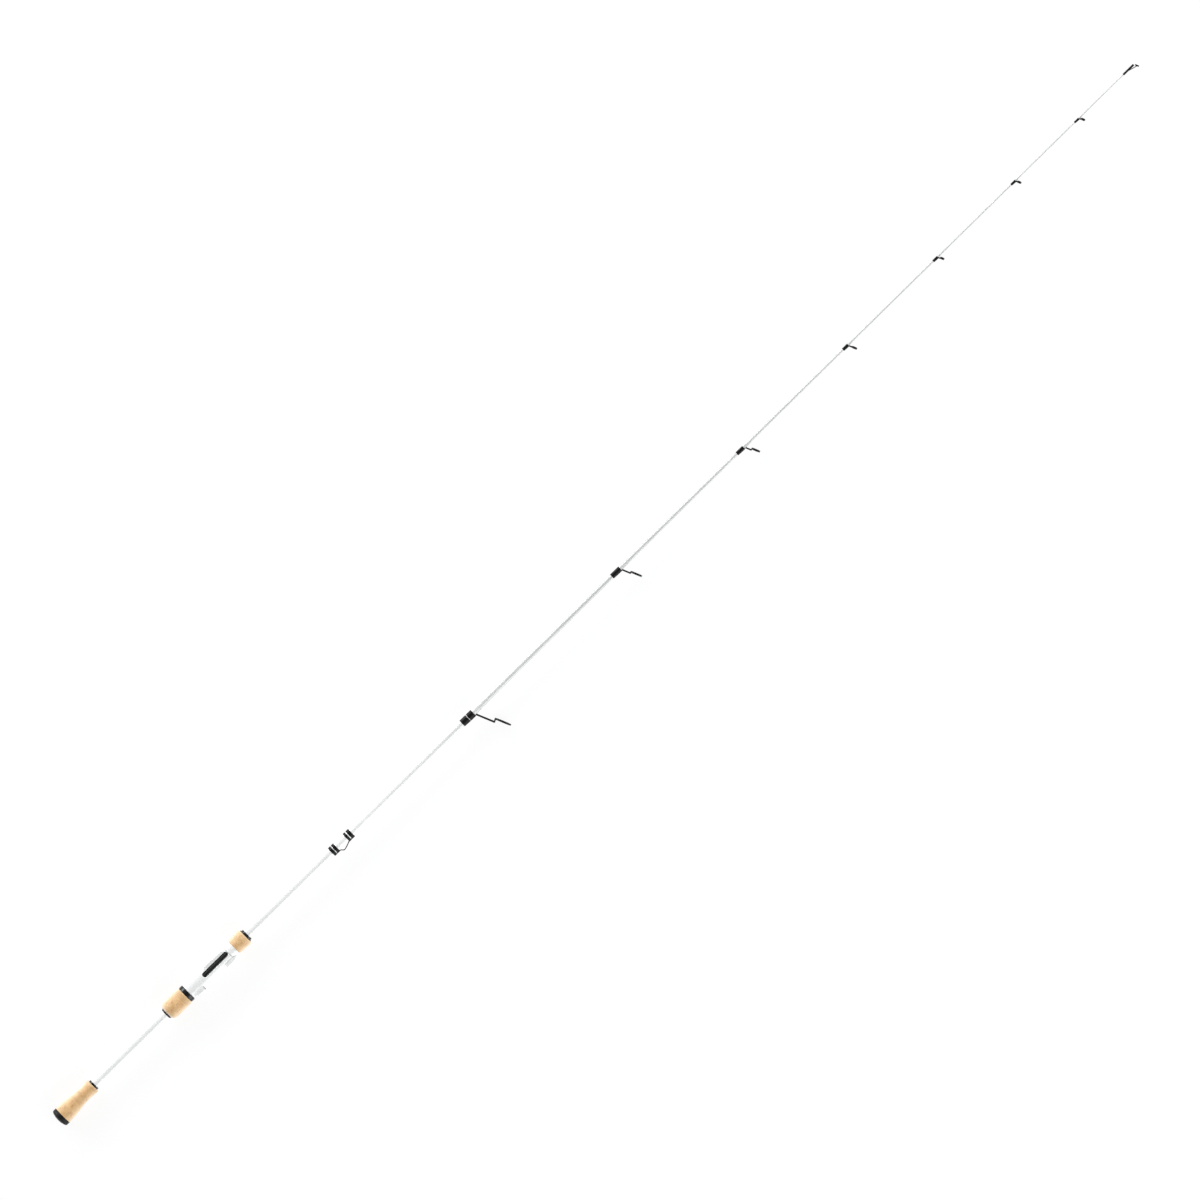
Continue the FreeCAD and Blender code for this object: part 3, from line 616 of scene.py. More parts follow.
def along(b, table, ease):
    """Values of a table of (b, value) corners, with the corners eased over a length."""
    apart = 0.25
    stations = np.arange(table[0][0] - ease * 2, table[-1][0] + ease * 2, apart)
    values = np.interp(stations, *zip(*table))
    width = max(1, int(ease / apart))
    kernel = np.hanning(width + 2)[1:-1]
    padded = np.pad(values, width, mode="edge")
    smooth = np.convolve(padded, kernel / kernel.sum(), mode="same")[width:-width]
    return np.interp(b, stations, smooth)


# ---------------------------------------------------------------- the blank and the turned pieces

BLANK = [
    (9.0, 6.75),
    (362.0, 6.75),
    (620.0, 5.2),
    (900.0, 3.7),
    (1150.0, 2.7),
    (1360.0, 2.0),
    (1540.0, 1.58),
    (1690.0, 1.35),
    (1820.0, 1.14),
    (1976.0, 0.88),
]
BLANK_WALL = 1.2
BORE_END = 1690.0
FITTED_BORE = 6.76  # of the corks and rings that are glued on the blank
FORE_BORE = 6.86  # of the ring that turns round the blank
NUT_OUTSIDE = 9.91  # bore of the corks that are glued on the nut
CORK_STEP = 0.34  # millimetres between the points of the cork's surface
CORK_SEGMENTS = 232
PORE_DEPTH = 0.3
BUTT_CONTOUR = [
    (8.8, 12.8),
    (14.0, 12.75),
    (22.0, 12.2),
    (32.0, 10.9),
    (42.0, 9.8),
    (51.0, 9.45),
    (58.0, 9.9),
    (62.5, 10.5),
    (64.3, 9.6),
]
REAR_CONTOUR = [
    (200.4, 8.7),
    (201.6, 10.7),
    (204.0, 12.3),
    (208.0, 13.15),
    (232.2, 13.15),
    (233.8, 12.0),
]
FORE_CONTOUR = [
    (323.55, 10.7),
    (325.0, 11.2),
    (332.5, 11.55),
    (339.5, 12.1),
    (342.2, 12.1),
    (344.3, 10.6),
]


def blank_radius(b):
    """The blank's outside radius at b."""
    return np.interp(b, *zip(*BLANK))


def make_blank():
    """A hollow tapered tube, open at the butt and closed towards the tip."""
    inner = np.arange(BORE_END, BLANK[0][0], -10.0)
    outer = np.append(np.arange(BLANK[0][0], BLANK[-1][0], 6.0), BLANK[-1][0])
    bore = [(b, max(0.4, blank_radius(b) * 0.93 - BLANK_WALL * 0.62)) for b in inner]
    outline = bore + [(BLANK[0][0], blank_radius(BLANK[0][0]) - BLANK_WALL)]
    outline += [(b, float(blank_radius(b))) for b in outer]
    mesh = lathe("blank", outline, 64, False)
    finish_piece("blank_tube", mesh, LOOK["blank"], "rod", ["blank"])


def make_cap():
    """The rubber cap: a shallow dome with a step and a groove, and the plug inside the blank."""
    end = reach("butt_cap")
    dome = [(0.0, 0.5), (0.1, 3.0), (0.35, 5.6), (0.4, 6.2), (0.75, 6.6), (1.0, 8.2), (1.7, 10.6)]
    side = [(2.6, 12.1), (3.5, 12.8), (4.6, end), (6.9, end), (7.2, end - 0.35), (7.6, end - 0.35)]
    back = [(7.9, end), (8.55, end - 0.02), (8.8, end - 0.3), (8.8, 5.6), (30.0, 5.45), (31.0, 4.6)]
    mesh = lathe("butt_cap", dome + side + back, 128, False)
    finish_piece("butt_cap_rubber", mesh, LOOK["rubber"], "rod", ["butt_cap"], 30.0)


def trim_ring(name, node, body, bore, profile, ease):
    """A polished ring; profile gives its outside as (b, r) from its first face to its last."""
    corners = [(profile[0][0], bore)] + profile + [(profile[-1][0], bore)]
    mesh = lathe(name, eased_outline(corners, ease, 6), 128, True)
    finish_piece(name, mesh, LOOK["black"], body, [node])


def make_trims():
    start, end = span("butt_trim")
    r = reach("butt_trim")
    trim_ring("butt_ring", "butt_trim", "rod", FITTED_BORE, [(start, r), (end, r)], 0.7)
    start, end = span("rear_check")
    r = reach("rear_check")
    dome = [(start, 7.1), (start + 0.9, 7.9), (start + 2.6, r), (end, r)]
    trim_ring("rear_check_ring", "rear_check", "rod", FITTED_BORE, dome, 0.5)
    start, end = span("rear_trim")
    r = reach("rear_trim")
    band = [(start, r - 0.25), (start + 1.6, r), (end - 1.6, r), (end, r - 0.35)]
    trim_ring("rear_ring", "rear_trim", "rod", FITTED_BORE, band, 0.9)
    start, end = span("fore_trim")
    r = 8.35
    step = [(start, 9.9), (start + 0.9, 9.7), (start + 1.4, r), (end, r)]
    trim_ring("fore_ring", "fore_trim", "nut", FORE_BORE, step, 0.6)


def pore(b, angle, radius, seed):
    """From 0 to 1, how deep a pore is at a point of the cork's surface; pores lie along the rod."""
    across = radius * 1.25
    place = Vector((b * 0.42, across * math.cos(angle), across * math.sin(angle)))
    value = noise.noise(place + Vector((seed * 7.7, seed * 3.1, seed * 5.3)))
    return min(1.0, max(0.0, (value - 0.36) * 6.0))


def cork_piece(name, node, body, contour, inner, index):
    """One cork ring: the grip's contour between two faces, with open pores and softened edges."""
    start, end = span(node)
    angle = full_turn(CORK_SEGMENTS)
    stations = np.linspace(start, end, max(6, int((end - start) / CORK_STEP)))
    radii = np.interp(stations, *zip(*smooth_contour(contour)))
    rings = []
    for b, r in zip(stations, radii):
        edge = min(b - start, end - b)
        soft = 0.12 * math.exp(-((edge / 0.22) ** 2))
        fade = min(1.0, edge / 0.5)
        ring = []
        for a in angle:
            depth = soft + PORE_DEPTH * pore(b, a, r, index) * (0.35 + 0.65 * fade)
            ring.append((b, (r - depth) * math.cos(a), (r - depth) * math.sin(a)))
        rings.append(np.array(ring))
    for b in (end, start):
        rings.append(ring_at(b, inner, angle))
    mesh = grid_mesh(name, rings, True)
    outward(mesh)
    finish_piece(name, mesh, cork_material(index), body, [node], 50.0)


def smooth_contour(contour):
    """The contour with its corners eased, as many short steps."""
    b = np.array([p[0] for p in contour])
    r = np.array([p[1] for p in contour])
    stations = np.arange(b[0], b[-1], 0.1)
    values = np.interp(stations, b, r)
    for width in (15, 9):
        kernel = np.ones(width) / width
        padded = np.pad(values, width, mode="reflect", reflect_type="odd")
        values = np.convolve(padded, kernel, mode="same")[width:-width]
    return list(zip(stations, values))


def make_corks():
    index = 0
    grips = (
        ("butt", 5, "rod", BUTT_CONTOUR, FITTED_BORE),
        ("rear", 3, "rod", REAR_CONTOUR, FITTED_BORE),
        ("fore", 2, "nut", FORE_CONTOUR, NUT_OUTSIDE),
    )
    for part, count, body, contour, inner in grips:
        for i in range(1, count + 1):
            name = "%s_grip_%d" % (part, i)
            cork_piece(name, "%s_cork_%d" % (part, i), body, contour, inner, index)
            index += 1


# ---------------------------------------------------------------- the reel seat and its hoods

SEAT_START = 239.8
FIXED_MOUTH = 258.7
SLIDING_MOUTH = 299.5
SHOULDER = 313.0
BARREL_END = 343.5
LAND = 8.5  # o of the flat that the reel foot rests on
POCKET_FLOOR = 8.3
POCKET_ROOF = 13.45
POCKET_HALF = 7.6
POCKET_DEPTH = 9.7
LINER = 0.4
SEAT_BORE = 7.4
BARREL_CORE = 8.35
THREAD_CREST = 9.0
THREAD_PITCH = 2.0
THREAD_START = SHOULDER + 2.0
THREAD_END = BARREL_END - 2.0
COLLAR_BORE = 9.12
COLLAR_RADIUS = 11.1
COLLAR_END = 323.5
WINDOW = (268.0, 312.6, -1.1, 3.5)  # b of both ends, o of the middle line, end radius
SCOOP = (293.0, 12.0, -5.2, 16.8, 9.0)  # b of the middle, half length, o, z, radius
# The seat's outside as (b, size): away from the reel, towards it, and across.
FAR_SIDE = [
    (239.8, 11.6),
    (247.0, 12.9),
    (256.0, 13.9),
    (266.0, 14.1),
    (280.0, 13.2),
    (296.0, 12.2),
    (313.0, 11.1),
]
NEAR_SIDE = [(239.8, 11.6), (247.0, 12.4), (256.0, 12.8), (280.0, 12.6), (313.0, 12.0)]
HALF_WIDTH = [
    (239.8, 11.6),
    (247.0, 12.3),
    (256.0, 12.7),
    (266.0, 12.6),
    (280.0, 12.0),
    (296.0, 11.5),
    (313.0, 11.0),
]
# The outside of each hood as (b, size): its top and its half width.
FIXED_TOP = [(240.4, 9.8), (242.5, 11.6), (247.5, 14.0), (253.0, 14.75), (258.7, 14.6)]
FIXED_HALF = [(240.4, 5.0), (244.5, 8.2), (250.5, 9.6), (258.7, 9.6)]
SLIDING_TOP = [(299.5, 14.5), (307.0, 14.75), (313.5, 14.2), (318.0, 12.7), (322.0, 10.9)]
SLIDING_HALF = [(299.5, 9.6), (308.0, 9.6), (314.5, 8.8), (322.0, 5.0)]


def stadium(b, o, low, high, middle, radius):
    """Distance to a long oval in the plane of b and o."""
    half = (high - low) / 2 - radius
    away = np.maximum(np.abs(b - (low + high) / 2) - half, 0)
    return np.hypot(away, o - middle) - radius


def scoop_distance(b, o, z):
    """Round-ended troughs that lead into the windows on the side away from the reel."""
    middle, half, scoop_o, scoop_z, radius = SCOOP
    away = np.maximum(np.abs(b - middle) - half, 0)
    return np.sqrt(away**2 + (o - scoop_o) ** 2 + (np.abs(z) - scoop_z) ** 2) - radius


def pocket_distance(b, o, z, low, high, less):
    """The room for one end of the reel foot, made smaller by less."""
    base = POCKET_FLOOR - 3.0
    top = POCKET_ROOF - less
    room = rounded_box(o - (base + top) / 2, z, (top - base) / 2, POCKET_HALF - less, 2.0)
    return np.maximum(np.maximum(room, POCKET_FLOOR - o), slab(b, low, high))


def ridge_distance(b, o, z):
    """The helical thread ridge of the barrel, a trapezoid that follows a right-hand screw."""
    radius = np.hypot(o, z)
    turn = np.arctan2(-o, -z) / (2 * math.pi)
    offset = (b - THREAD_START) / THREAD_PITCH - turn
    away = np.abs(offset - np.round(offset)) * THREAD_PITCH
    half = 0.575 - (radius - BARREL_CORE + 0.25) * 0.39
    ridge = np.maximum(away - half, radius - THREAD_CREST)
    return np.maximum(ridge, slab(b, THREAD_START - 0.4, THREAD_END + 0.4))


def hood_shell(b, o, z, top_table, half_table):
    """The outside of a hood, from inside the seat out to its rounded top."""
    base = 5.0
    top = along(b, top_table, 4.0)
    half = along(b, half_table, 4.0)
    return rounded_box(o - (base + top) / 2, z, (top - base) / 2, half, 3.6)


def seat_distance(b, o, z):
    """The moulded seat: oval body, fixed hood, flat land, windows and threaded barrel."""
    near = np.where(o < 0, along(b, FAR_SIDE, 7.0), along(b, NEAR_SIDE, 7.0))
    half = along(b, HALF_WIDTH, 7.0)
    radius = np.hypot(o, z)
    body = radius * (1 - 1 / np.maximum(np.hypot(o / near, z / half), 0.05))
    body = both(body, slab(b, SEAT_START, SHOULDER), 1.2)
    hood = hood_shell(b, o, z, FIXED_TOP, FIXED_HALF)
    hood = both(hood, slab(b, SEAT_START + 1.0, FIXED_MOUTH), 1.0)
    solid = joined(body, hood, 2.6)
    solid = without(solid, np.maximum(LAND - o, FIXED_MOUTH - b), 0.5)
    solid = np.maximum(solid, -np.maximum(POCKET_FLOOR - o, SLIDING_MOUTH - b))
    room = pocket_distance(b, o, z, FIXED_MOUTH - POCKET_DEPTH, FIXED_MOUTH + 2, 0.0)
    solid = without(solid, room, 0.35)
    barrel = np.maximum(radius - BARREL_CORE, slab(b, SHOULDER - 3, BARREL_END))
    barrel = joined(barrel, ridge_distance(b, o, z), 0.15)
    solid = np.minimum(solid, barrel)
    key = np.maximum(np.maximum(SHOULDER + 0.2 - b, 7.95 - o), np.abs(z) - 1.9)
    solid = np.maximum(solid, -key)
    solid = without(solid, scoop_distance(b, o, z), 0.9)
    solid = without(solid, stadium(b, o, *WINDOW), 0.8)
    return np.maximum(solid, SEAT_BORE - radius)


def sliding_hood_distance(b, o, z):
    """The collar round the barrel, the hood on it and the key that stops it turning."""
    radius = np.hypot(o, z)
    middle = (COLLAR_BORE + COLLAR_RADIUS) / 2
    collar = np.abs(radius - middle) - (COLLAR_RADIUS - COLLAR_BORE) / 2
    collar = both(collar, slab(b, SHOULDER + 0.05, COLLAR_END), 0.6)
    shell = hood_shell(b, o, z, SLIDING_TOP, SLIDING_HALF)
    shell = both(shell, LAND + 0.1 - o, 0.3)
    shell = both(shell, slab(b, SLIDING_MOUTH, COLLAR_END - 1.0), 0.9)
    solid = joined(collar, shell, 1.4)
    solid = np.maximum(solid, COLLAR_BORE - radius)
    solid = np.maximum(solid, np.where(b < SHOULDER, LAND + 0.1 - o, -9.0))
    room = pocket_distance(b, o, z, SLIDING_MOUTH - 2, SLIDING_MOUTH + POCKET_DEPTH, 0.0)
    solid = without(solid, room, 0.35)
    key = np.maximum(slab(o, 8.1, 9.6), np.abs(z) - 1.8)
    key = np.maximum(slab(b, SHOULDER + 0.3, COLLAR_END - 0.3), key)
    return np.minimum(solid, key)


def make_seat():
    low = (SEAT_START - 1, -15.5, -14.0)
    high = (BARREL_END + 1, 16.0, 14.0)
    mesh = carved("reel_seat", seat_distance, low, high, 0.36)
    look = LOOK["seat"]
    finish_piece("reel_seat_body", mesh, look, "rod", ["reel_seat"], 0)
    low = (SLIDING_MOUTH - 1, -12.0, -12.0)
    high = (COLLAR_END + 1, 15.5, 12.0)
    mesh = carved("sliding_hood", sliding_hood_distance, low, high, 0.27)
    finish_piece("sliding_hood_shell", mesh, look, "hood", ["sliding_hood"], 0)


def liner_piece(name, node, body, start, end, floor):
    """A thin black cushion that lines a hood's pocket and closes its inner end."""

    def distance(b, o, z):
        outer = pocket_distance(b, o, z, start, end, 0.02)
        inner = pocket_distance(b, o, z, start - 5, end + 5, LINER)
        return np.maximum(np.maximum(outer, -inner), floor - o)

    low = (start - 0.6, POCKET_FLOOR - 0.6, -POCKET_HALF - 0.6)
    high = (end + 0.6, POCKET_ROOF + 0.6, POCKET_HALF + 0.6)
    mesh = carved(name, distance, low, high, 0.13)
    finish_piece(name, mesh, LOOK["plastic"], body, [node], 50.0)


def make_liners():
    start = FIXED_MOUTH - POCKET_DEPTH + 0.1
    end = FIXED_MOUTH - 0.15
    liner_piece("fixed_hood_cushion", "fixed_hood_liner", "rod", start, end, POCKET_FLOOR)
    start = SLIDING_MOUTH + 0.15
    end = SLIDING_MOUTH + POCKET_DEPTH - 0.1
    liner_piece("sliding_hood_cushion", "sliding_hood_liner", "hood", start, end, LAND + 0.1)


def dress_inner_nodes():
    """Pieces that are almost wholly hidden keep their CAD shape and get their material."""
    for node in ("seat_arbor_rear", "seat_arbor_front", "fore_nut"):
        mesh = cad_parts[node].data
        mesh.materials.clear()
        mesh.materials.append(LOOK["plastic"])


# ---------------------------------------------------------------- guides, wraps and the hook keeper

GUIDE_LEAN = math.radians(23.0)
THREAD_WIDTH = 0.24  # one turn of wrapping thread
FIRST_RADIUS = 11.6  # of the first guide's frame; the others' small sizes follow it
# Name, thread bands, ring centre b and o, frame radius, hole radius, how far the ring stands ahead
# of the legs, and thread thickness.
GUIDES = [
    ("guide1", [(742.6, 753.3), (754.0, 763.0)], 782.6, 35.8, 11.6, 8.6, 4.6, 0.62),
    ("guide2", [(1018.0, 1033.2)], 1043.2, 19.9, 8.2, 5.9, 2.0, 0.42),
    ("guide3", [(1247.7, 1260.0)], 1269.0, 13.75, 6.1, 4.3, 2.2, 0.38),
    ("guide4", [(1442.8, 1452.2)], 1455.3, 8.5, 3.95, 2.7, 0.3, 0.34),
    ("guide5", [(1608.5, 1617.0)], 1619.7, 5.6, 3.0, 2.0, 0.9, 0.3),
    ("guide6", [(1751.8, 1760.0)], 1761.9, 5.0, 3.0, 2.0, 0.5, 0.3),
    ("guide7", [(1868.3, 1876.3)], 1879.3, 4.8, 3.0, 2.0, 0.8, 0.3),
]


class Guide:
    """The sizes of one guide, all from its row of the table."""

    def __init__(self, name, bands, ring_b, ring_o, radius, hole, step, thread):
        self.name = name
        self.bands = bands
        self.ring_b = ring_b
        self.ring_o = ring_o
        self.radius = radius
        self.hole = hole
        self.thread = thread
        scale = radius / FIRST_RADIUS
        self.scale = scale
        self.plate = 2.0 + 0.5 * scale
        self.rim = max(0.45, 1.25 * scale)
        self.holder = 2.6 - 0.35 * scale
        self.back = -step - self.plate / 2
        self.blank = float(blank_radius(bands[-1][1]))
        self.leg_foot = max(1.0, 1.9 * scale)
        self.bar = max(0.42, 1.0 * scale)
        sink = self.blank + 0.15 + self.back * math.sin(GUIDE_LEAN)
        self.drop = (ring_o - sink) / math.cos(GUIDE_LEAN)
        front = (self.back + self.plate) * math.cos(GUIDE_LEAN)
        self.foot_end = ring_b + front - self.drop * math.sin(GUIDE_LEAN)
        start, end = bands[0][0], bands[-1][1]
        self.foot_start = start + (end - start) * 0.12
        self.foot_half = max(0.85, 1.9 * scale)
        self.foot_thick = max(0.42, 0.75 * scale)

    def lean_frame(self, b, o):
        """Coordinates square to the ring: x along its axis, y from its centre down to the foot."""
        c = math.cos(GUIDE_LEAN)
        s = math.sin(GUIDE_LEAN)
        db = b - self.ring_b
        do = o - self.ring_o
        return db * c - do * s, -db * s - do * c

    def foot_profile(self, b):
        """Half width and thickness of the foot; it tapers to a thin point towards the butt."""
        part = np.clip((b - self.foot_start) / (self.foot_end - self.foot_start), 0, 1)
        half = self.foot_half * np.clip(0.3 + 1.5 * part, 0, 1)
        thick = self.foot_thick * np.clip(0.25 + 1.6 * part, 0, 1)
        return half, thick

    def frame_distance(self, b, o, z):
        """Foot, two spreading legs, the cross web and the rim round the ring, blended together."""
        x, y = self.lean_frame(b, o)
        ease = 0.45 * self.scale + 0.12
        across = np.hypot(y, z)
        mid = self.radius - self.rim / 2
        ring = rounded_box(across - mid, x, self.rim / 2, self.holder / 2, self.rim * 0.4)
        spread = self.radius * 0.5
        top = self.radius * 0.9
        leg_end = (self.drop, self.leg_foot * 0.55)
        legs = segment_distance(y, np.abs(z), leg_end, (top, spread)) - self.bar
        web = np.abs(across - mid) - self.rim * 0.5
        web = np.maximum(web, self.radius * 0.8 - y)
        web = np.maximum(web, np.abs(z) - spread - self.bar * 0.6)
        sheet = joined(legs, web, ease)
        sheet = np.maximum(sheet, self.radius - self.rim - across)
        plate_x = np.abs(x - self.back - self.plate / 2) - self.plate / 2
        sheet = both(sheet, plate_x, self.plate * 0.45)
        bridge = np.maximum(web, slab(x, self.back + self.plate * 0.4, 0.0))
        frame_part = joined(joined(sheet, bridge, ease * 0.6), ring, ease * 0.6)
        half, thick = self.foot_profile(b)
        above = np.hypot(o, z) - blank_radius(b)
        foot = both(slab(above, 0.02, thick), np.abs(z) - half, 0.25)
        foot = both(foot, slab(b, self.foot_start, self.foot_end), 0.3)
        foot = np.maximum(foot, -o)
        solid = joined(frame_part, foot, ease)
        return np.maximum(solid, 0.02 - above)


def segment_distance(p, q, start, end):
    """Distance in a plane from points (p, q) to a segment."""
    dp = end[0] - start[0]
    dq = end[1] - start[1]
    t = np.clip(((p - start[0]) * dp + (q - start[1]) * dq) / (dp * dp + dq * dq), 0, 1)
    return np.hypot(p - start[0] - t * dp, q - start[1] - t * dq)


def leaned(points, ring_b, ring_o):
    """Points drawn square to a ring's axis, leaned towards the tip and put at the ring's centre."""
    c = math.cos(GUIDE_LEAN)
    s = math.sin(GUIDE_LEAN)
    x, y, z = np.asarray(points, float).T
    return np.column_stack((ring_b + x * c - y * s, ring_o - x * s - y * c, z))


def ceramic_ring(name, node, ring_b, ring_o, outer, hole, width, segments=96):
    """A polished ring with a round bore and a waisted outside that sits in the rim."""
    outline = []
    count = 20
    mid = (outer + hole) / 2
    thick = (outer - hole) / 2
    for i in range(count):
        a = 2 * math.pi * i / count
        bulge = 1.0 if math.cos(a) < 0 else 0.72
        outline.append((width / 2 * math.sin(a) * bulge, mid + thick * math.cos(a)))
    angle = full_turn(segments)
    rings = [leaned(ring_at(x, r, angle), ring_b, ring_o) for x, r in outline]
    mesh = grid_mesh(name, rings, True)
    outward(mesh)
    finish_piece(name, mesh, LOOK["ceramic"], "rod", [node], 0)


def wrap_mesh(name, bands, thickness, ridge_height, ridge_angle):
    """Thread wound round the blank under clear finish, one closed skin for each band.

    ridge_height(b) is how far a foot lifts the thread, and ridge_angle the lift's half angle."""
    angle = full_turn(96)
    wrapped = np.minimum(angle, 2 * math.pi - angle)
    skins = []
    for start, end in bands:
        rings = []
        for b in np.append(np.arange(start, end, THREAD_WIDTH / 3), end):
            full = band_height(b, start, end, thickness)
            lift = ridge_height(b) * np.exp(-((wrapped / ridge_angle) ** 2)) * min(1.0, full * 1.5)
            turns = 0.006 * np.cos(2 * math.pi * b / THREAD_WIDTH - angle) * full
            r = blank_radius(b) + thickness * full + lift + turns
            rings.append(ring_at(b, r, angle))
        for b in (end, start):
            rings.append(ring_at(b, blank_radius(b) + 0.01, angle))
        skins.append(rings)
    mesh = skins_mesh(name, skins)
    outward(mesh)
    return mesh


def band_height(b, start, end, thickness):
    """From 0.15 to 1, how thick the wrap is at b; its finish is rounded at both ends."""
    shoulder = min(1.0, min(b - start, end - b) / max(0.8, thickness * 1.6))
    return 0.15 + 0.85 * math.sqrt(max(0.0, 1 - (1 - shoulder) ** 2))


def make_guide(guide):
    """One guide: its frame, its ceramic ring and its thread bands."""
    name = guide.name
    c = math.cos(GUIDE_LEAN)
    s = math.sin(GUIDE_LEAN)
    far_b = guide.ring_b + guide.radius * s + guide.holder
    far_o = guide.ring_o + guide.radius * c + guide.holder
    low = (guide.foot_start - 1.0, -0.5, -guide.radius - 0.6)
    high = (far_b + 0.5, far_o + 0.5, guide.radius + 0.6)
    step = 0.085 + 0.115 * guide.scale
    mesh = carved(name + "_frame", guide.frame_distance, low, high, step)
    metal = LOOK["metal"]
    finish_piece(name + "_bracket", mesh, metal, "rod", [name + "_frame"], 0)
    place = (guide.ring_b, guide.ring_o)
    outer = guide.radius - guide.rim + 0.02
    width = guide.holder * 1.24
    ceramic_ring(name + "_insert", name + "_ring", *place, outer, guide.hole, width)
    ridge_angle = 1.25 * (guide.foot_half + 0.25) / (guide.blank + guide.foot_thick)
    nodes = [name + "_wrap", name + "_trim"]
    for i, band in enumerate(guide.bands):
        lift = lambda b: guide.foot_profile(b)[1]
        mesh = wrap_mesh(name, [band], guide.thread, lift, ridge_angle)
        piece = "%s_thread_%d" % (name, i + 1)
        finish_piece(piece, mesh, LOOK["thread"], "rod", [nodes[i]], 0)


KEEPER_BANDS = [[(502.0, 506.3), (507.2, 511.7)], [(529.0, 532.7), (534.0, 539.0)]]
KEEPER_THREAD = 0.6
KEEPER_WIRE = 0.68
KEEPER_RISE = 3.6


def keeper_route():
    """The middle of the keeper wire: b and its height over the blank's surface."""
    flat = KEEPER_WIRE
    return [
        (502.6, flat * 0.6),
        (506.0, flat),
        (510.0, flat),
        (511.9, flat + 0.1),
        (513.4, flat + 0.9),
        (515.1, flat + 2.7),
        (516.5, flat + KEEPER_RISE - 0.1),
        (518.0, flat + KEEPER_RISE - 0.05),
        (520.4, flat + KEEPER_RISE - 0.75),
        (524.2, flat + 1.7),
        (527.2, flat + 0.5),
        (529.4, flat + 0.05),
        (534.0, flat),
        (538.4, flat * 0.6),
    ]


def smooth_route(points, steps):
    """A Catmull-Rom curve through the points."""
    p = [np.array(q, float) for q in points]
    p = [2 * p[0] - p[1]] + p + [2 * p[-1] - p[-2]]
    out = []
    for i in range(1, len(p) - 2):
        for k in range(steps):
            t = k / steps
            a = 2 * p[i]
            c = (p[i + 1] - p[i - 1]) * t
            d = (2 * p[i - 1] - 5 * p[i] + 4 * p[i + 1] - p[i + 2]) * t * t
            e = (3 * p[i] - p[i - 1] - 3 * p[i + 1] + p[i + 2]) * t**3
            out.append((a + c + d + e) / 2)
    out.append(p[-2])
    return np.array(out)


def make_keeper():
    """A bent wire whose two flattened feet lie under thread wraps."""
    route = smooth_route([(b, blank_radius(b) + h) for b, h in keeper_route()], 8)
    angle = full_turn(24)
    rings = []
    for i, (b, o) in enumerate(route):
        ahead = route[min(i + 1, len(route) - 1)] - route[max(i - 1, 0)]
        ahead /= np.linalg.norm(ahead)
        side = np.array((-ahead[1], ahead[0]))
        ends = min(abs(b - route[0][0]), abs(b - route[-1][0]))
        thin = 0.55 + 0.45 * min(1.0, ends / 5.0)
        tip = math.sqrt(max(0.04, 1 - max(0.0, 1 - ends / 0.6) ** 2))
        r = KEEPER_WIRE * tip
        up = r * thin * np.cos(angle)
        wide = r * (1.35 - 0.35 * min(1.0, ends / 5.0)) * np.sin(angle)
        rings.append(np.column_stack((b + side[0] * up, o + side[1] * up, wide)))
    mesh = grid_mesh("keeper", rings, False)
    outward(mesh)
    metal = LOOK["metal"]
    finish_piece("hook_keeper", mesh, metal, "rod", ["keeper_wire"], 50.0)
    for bands, node in zip(KEEPER_BANDS, ("keeper_wrap_rear", "keeper_wrap_front")):
        mesh = wrap_mesh(node, bands, KEEPER_THREAD, lambda b: KEEPER_WIRE * 1.5, 0.16)
        piece = node.replace("wrap", "thread")
        finish_piece(piece, mesh, LOOK["thread"], "rod", [node], 0)


# ---------------------------------------------------------------- the tip-top

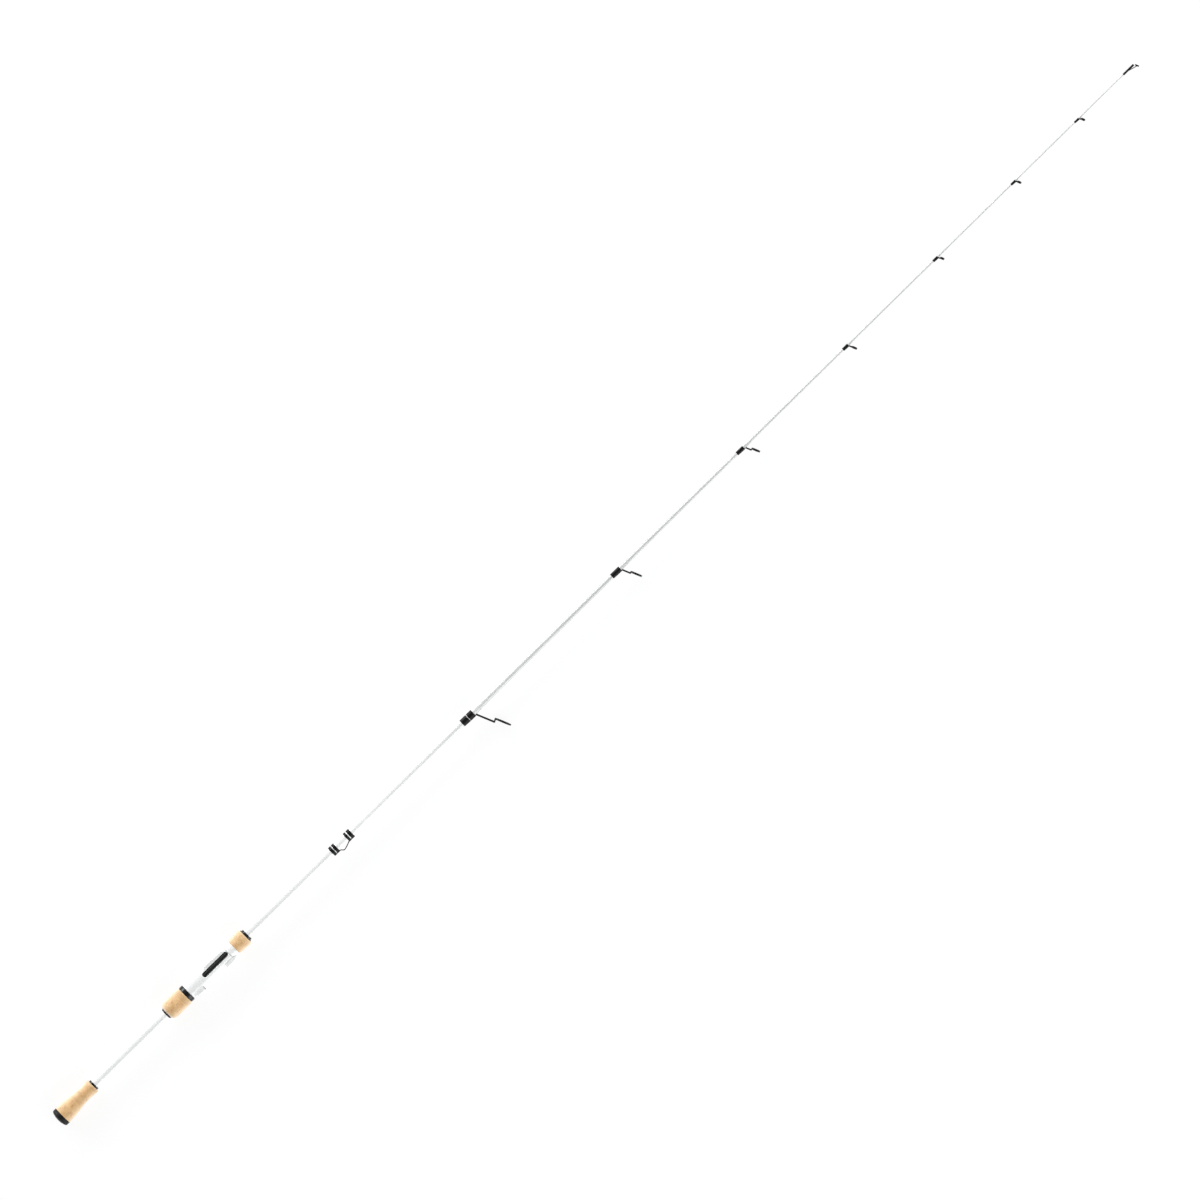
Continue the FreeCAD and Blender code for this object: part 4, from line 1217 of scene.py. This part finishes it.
TIP_TUBE = (1958.0, 1977.0, 1.45)  # b of both ends, radius
TIP_RING = (1979.4, 3.9, 2.9, 1.9)  # b, o, rim radius, hole radius
TIP_RIM = 0.5  # thickness of the rim round the ring
TIP_RIM_HALF = 0.78  # half its width
TIP_BRACE = 0.52  # radius of a brace
TIP_CERAMIC = 1.85  # width of the ring


def tip_distance(b, o, z):
    """A tube over the blank's end, the rim of the ring and two braces down to the tube."""
    start, end, radius = TIP_TUBE
    around = np.hypot(o, z)
    tube = both(around - radius, slab(b, start, end), 0.5)
    ring_b, ring_o, rim, _ = TIP_RING
    c = math.cos(GUIDE_LEAN)
    s = math.sin(GUIDE_LEAN)
    x = (b - ring_b) * c - (o - ring_o) * s
    y = -(b - ring_b) * s - (o - ring_o) * c
    across = np.hypot(y, z)
    ring = rounded_box(across - rim + TIP_RIM / 2, x, TIP_RIM / 2, TIP_RIM_HALF, 0.2)
    low = np.array((start + 7.0, 0.5, 1.05))
    high = np.array((ring_b + s * 0.6, ring_o + c * 0.6, rim - 0.25))
    run = high - low
    place = np.stack((b - low[0], o - low[1], np.abs(z) - low[2]))
    t = np.clip((place * run[:, None]).sum(0) / (run @ run), 0, 1)
    brace = np.linalg.norm(place - t * run[:, None], axis=0) - TIP_BRACE
    solid = joined(joined(tube, brace, 0.4), ring, 0.3)
    solid = np.maximum(solid, -np.maximum(across - rim + TIP_RIM, np.abs(x) - 1.5))
    return np.maximum(solid, -np.maximum(around - 0.94, b - 1975.9))


def make_tip():
    start, _, radius = TIP_TUBE
    ring_b, ring_o, rim, hole = TIP_RING
    low = (start - 0.6, -radius - 0.6, -rim - 0.6)
    high = (ring_b + 2.6, ring_o + rim + 0.6, rim + 0.6)
    mesh = carved("tip_top", tip_distance, low, high, 0.085)
    finish_piece("tip_top_tube", mesh, LOOK["metal"], "rod", ["tip_tube"], 0)
    outer = rim - TIP_RIM + 0.02
    ceramic_ring("tip_top_insert", "tip_ring", ring_b, ring_o, outer, hole, TIP_CERAMIC, 64)


make_camera()
LOOK = make_materials()
make_studio()
make_blank()
make_cap()
make_trims()
make_corks()
make_seat()
make_liners()
dress_inner_nodes()
for row in GUIDES:
    make_guide(Guide(*row))
make_keeper()
make_tip()
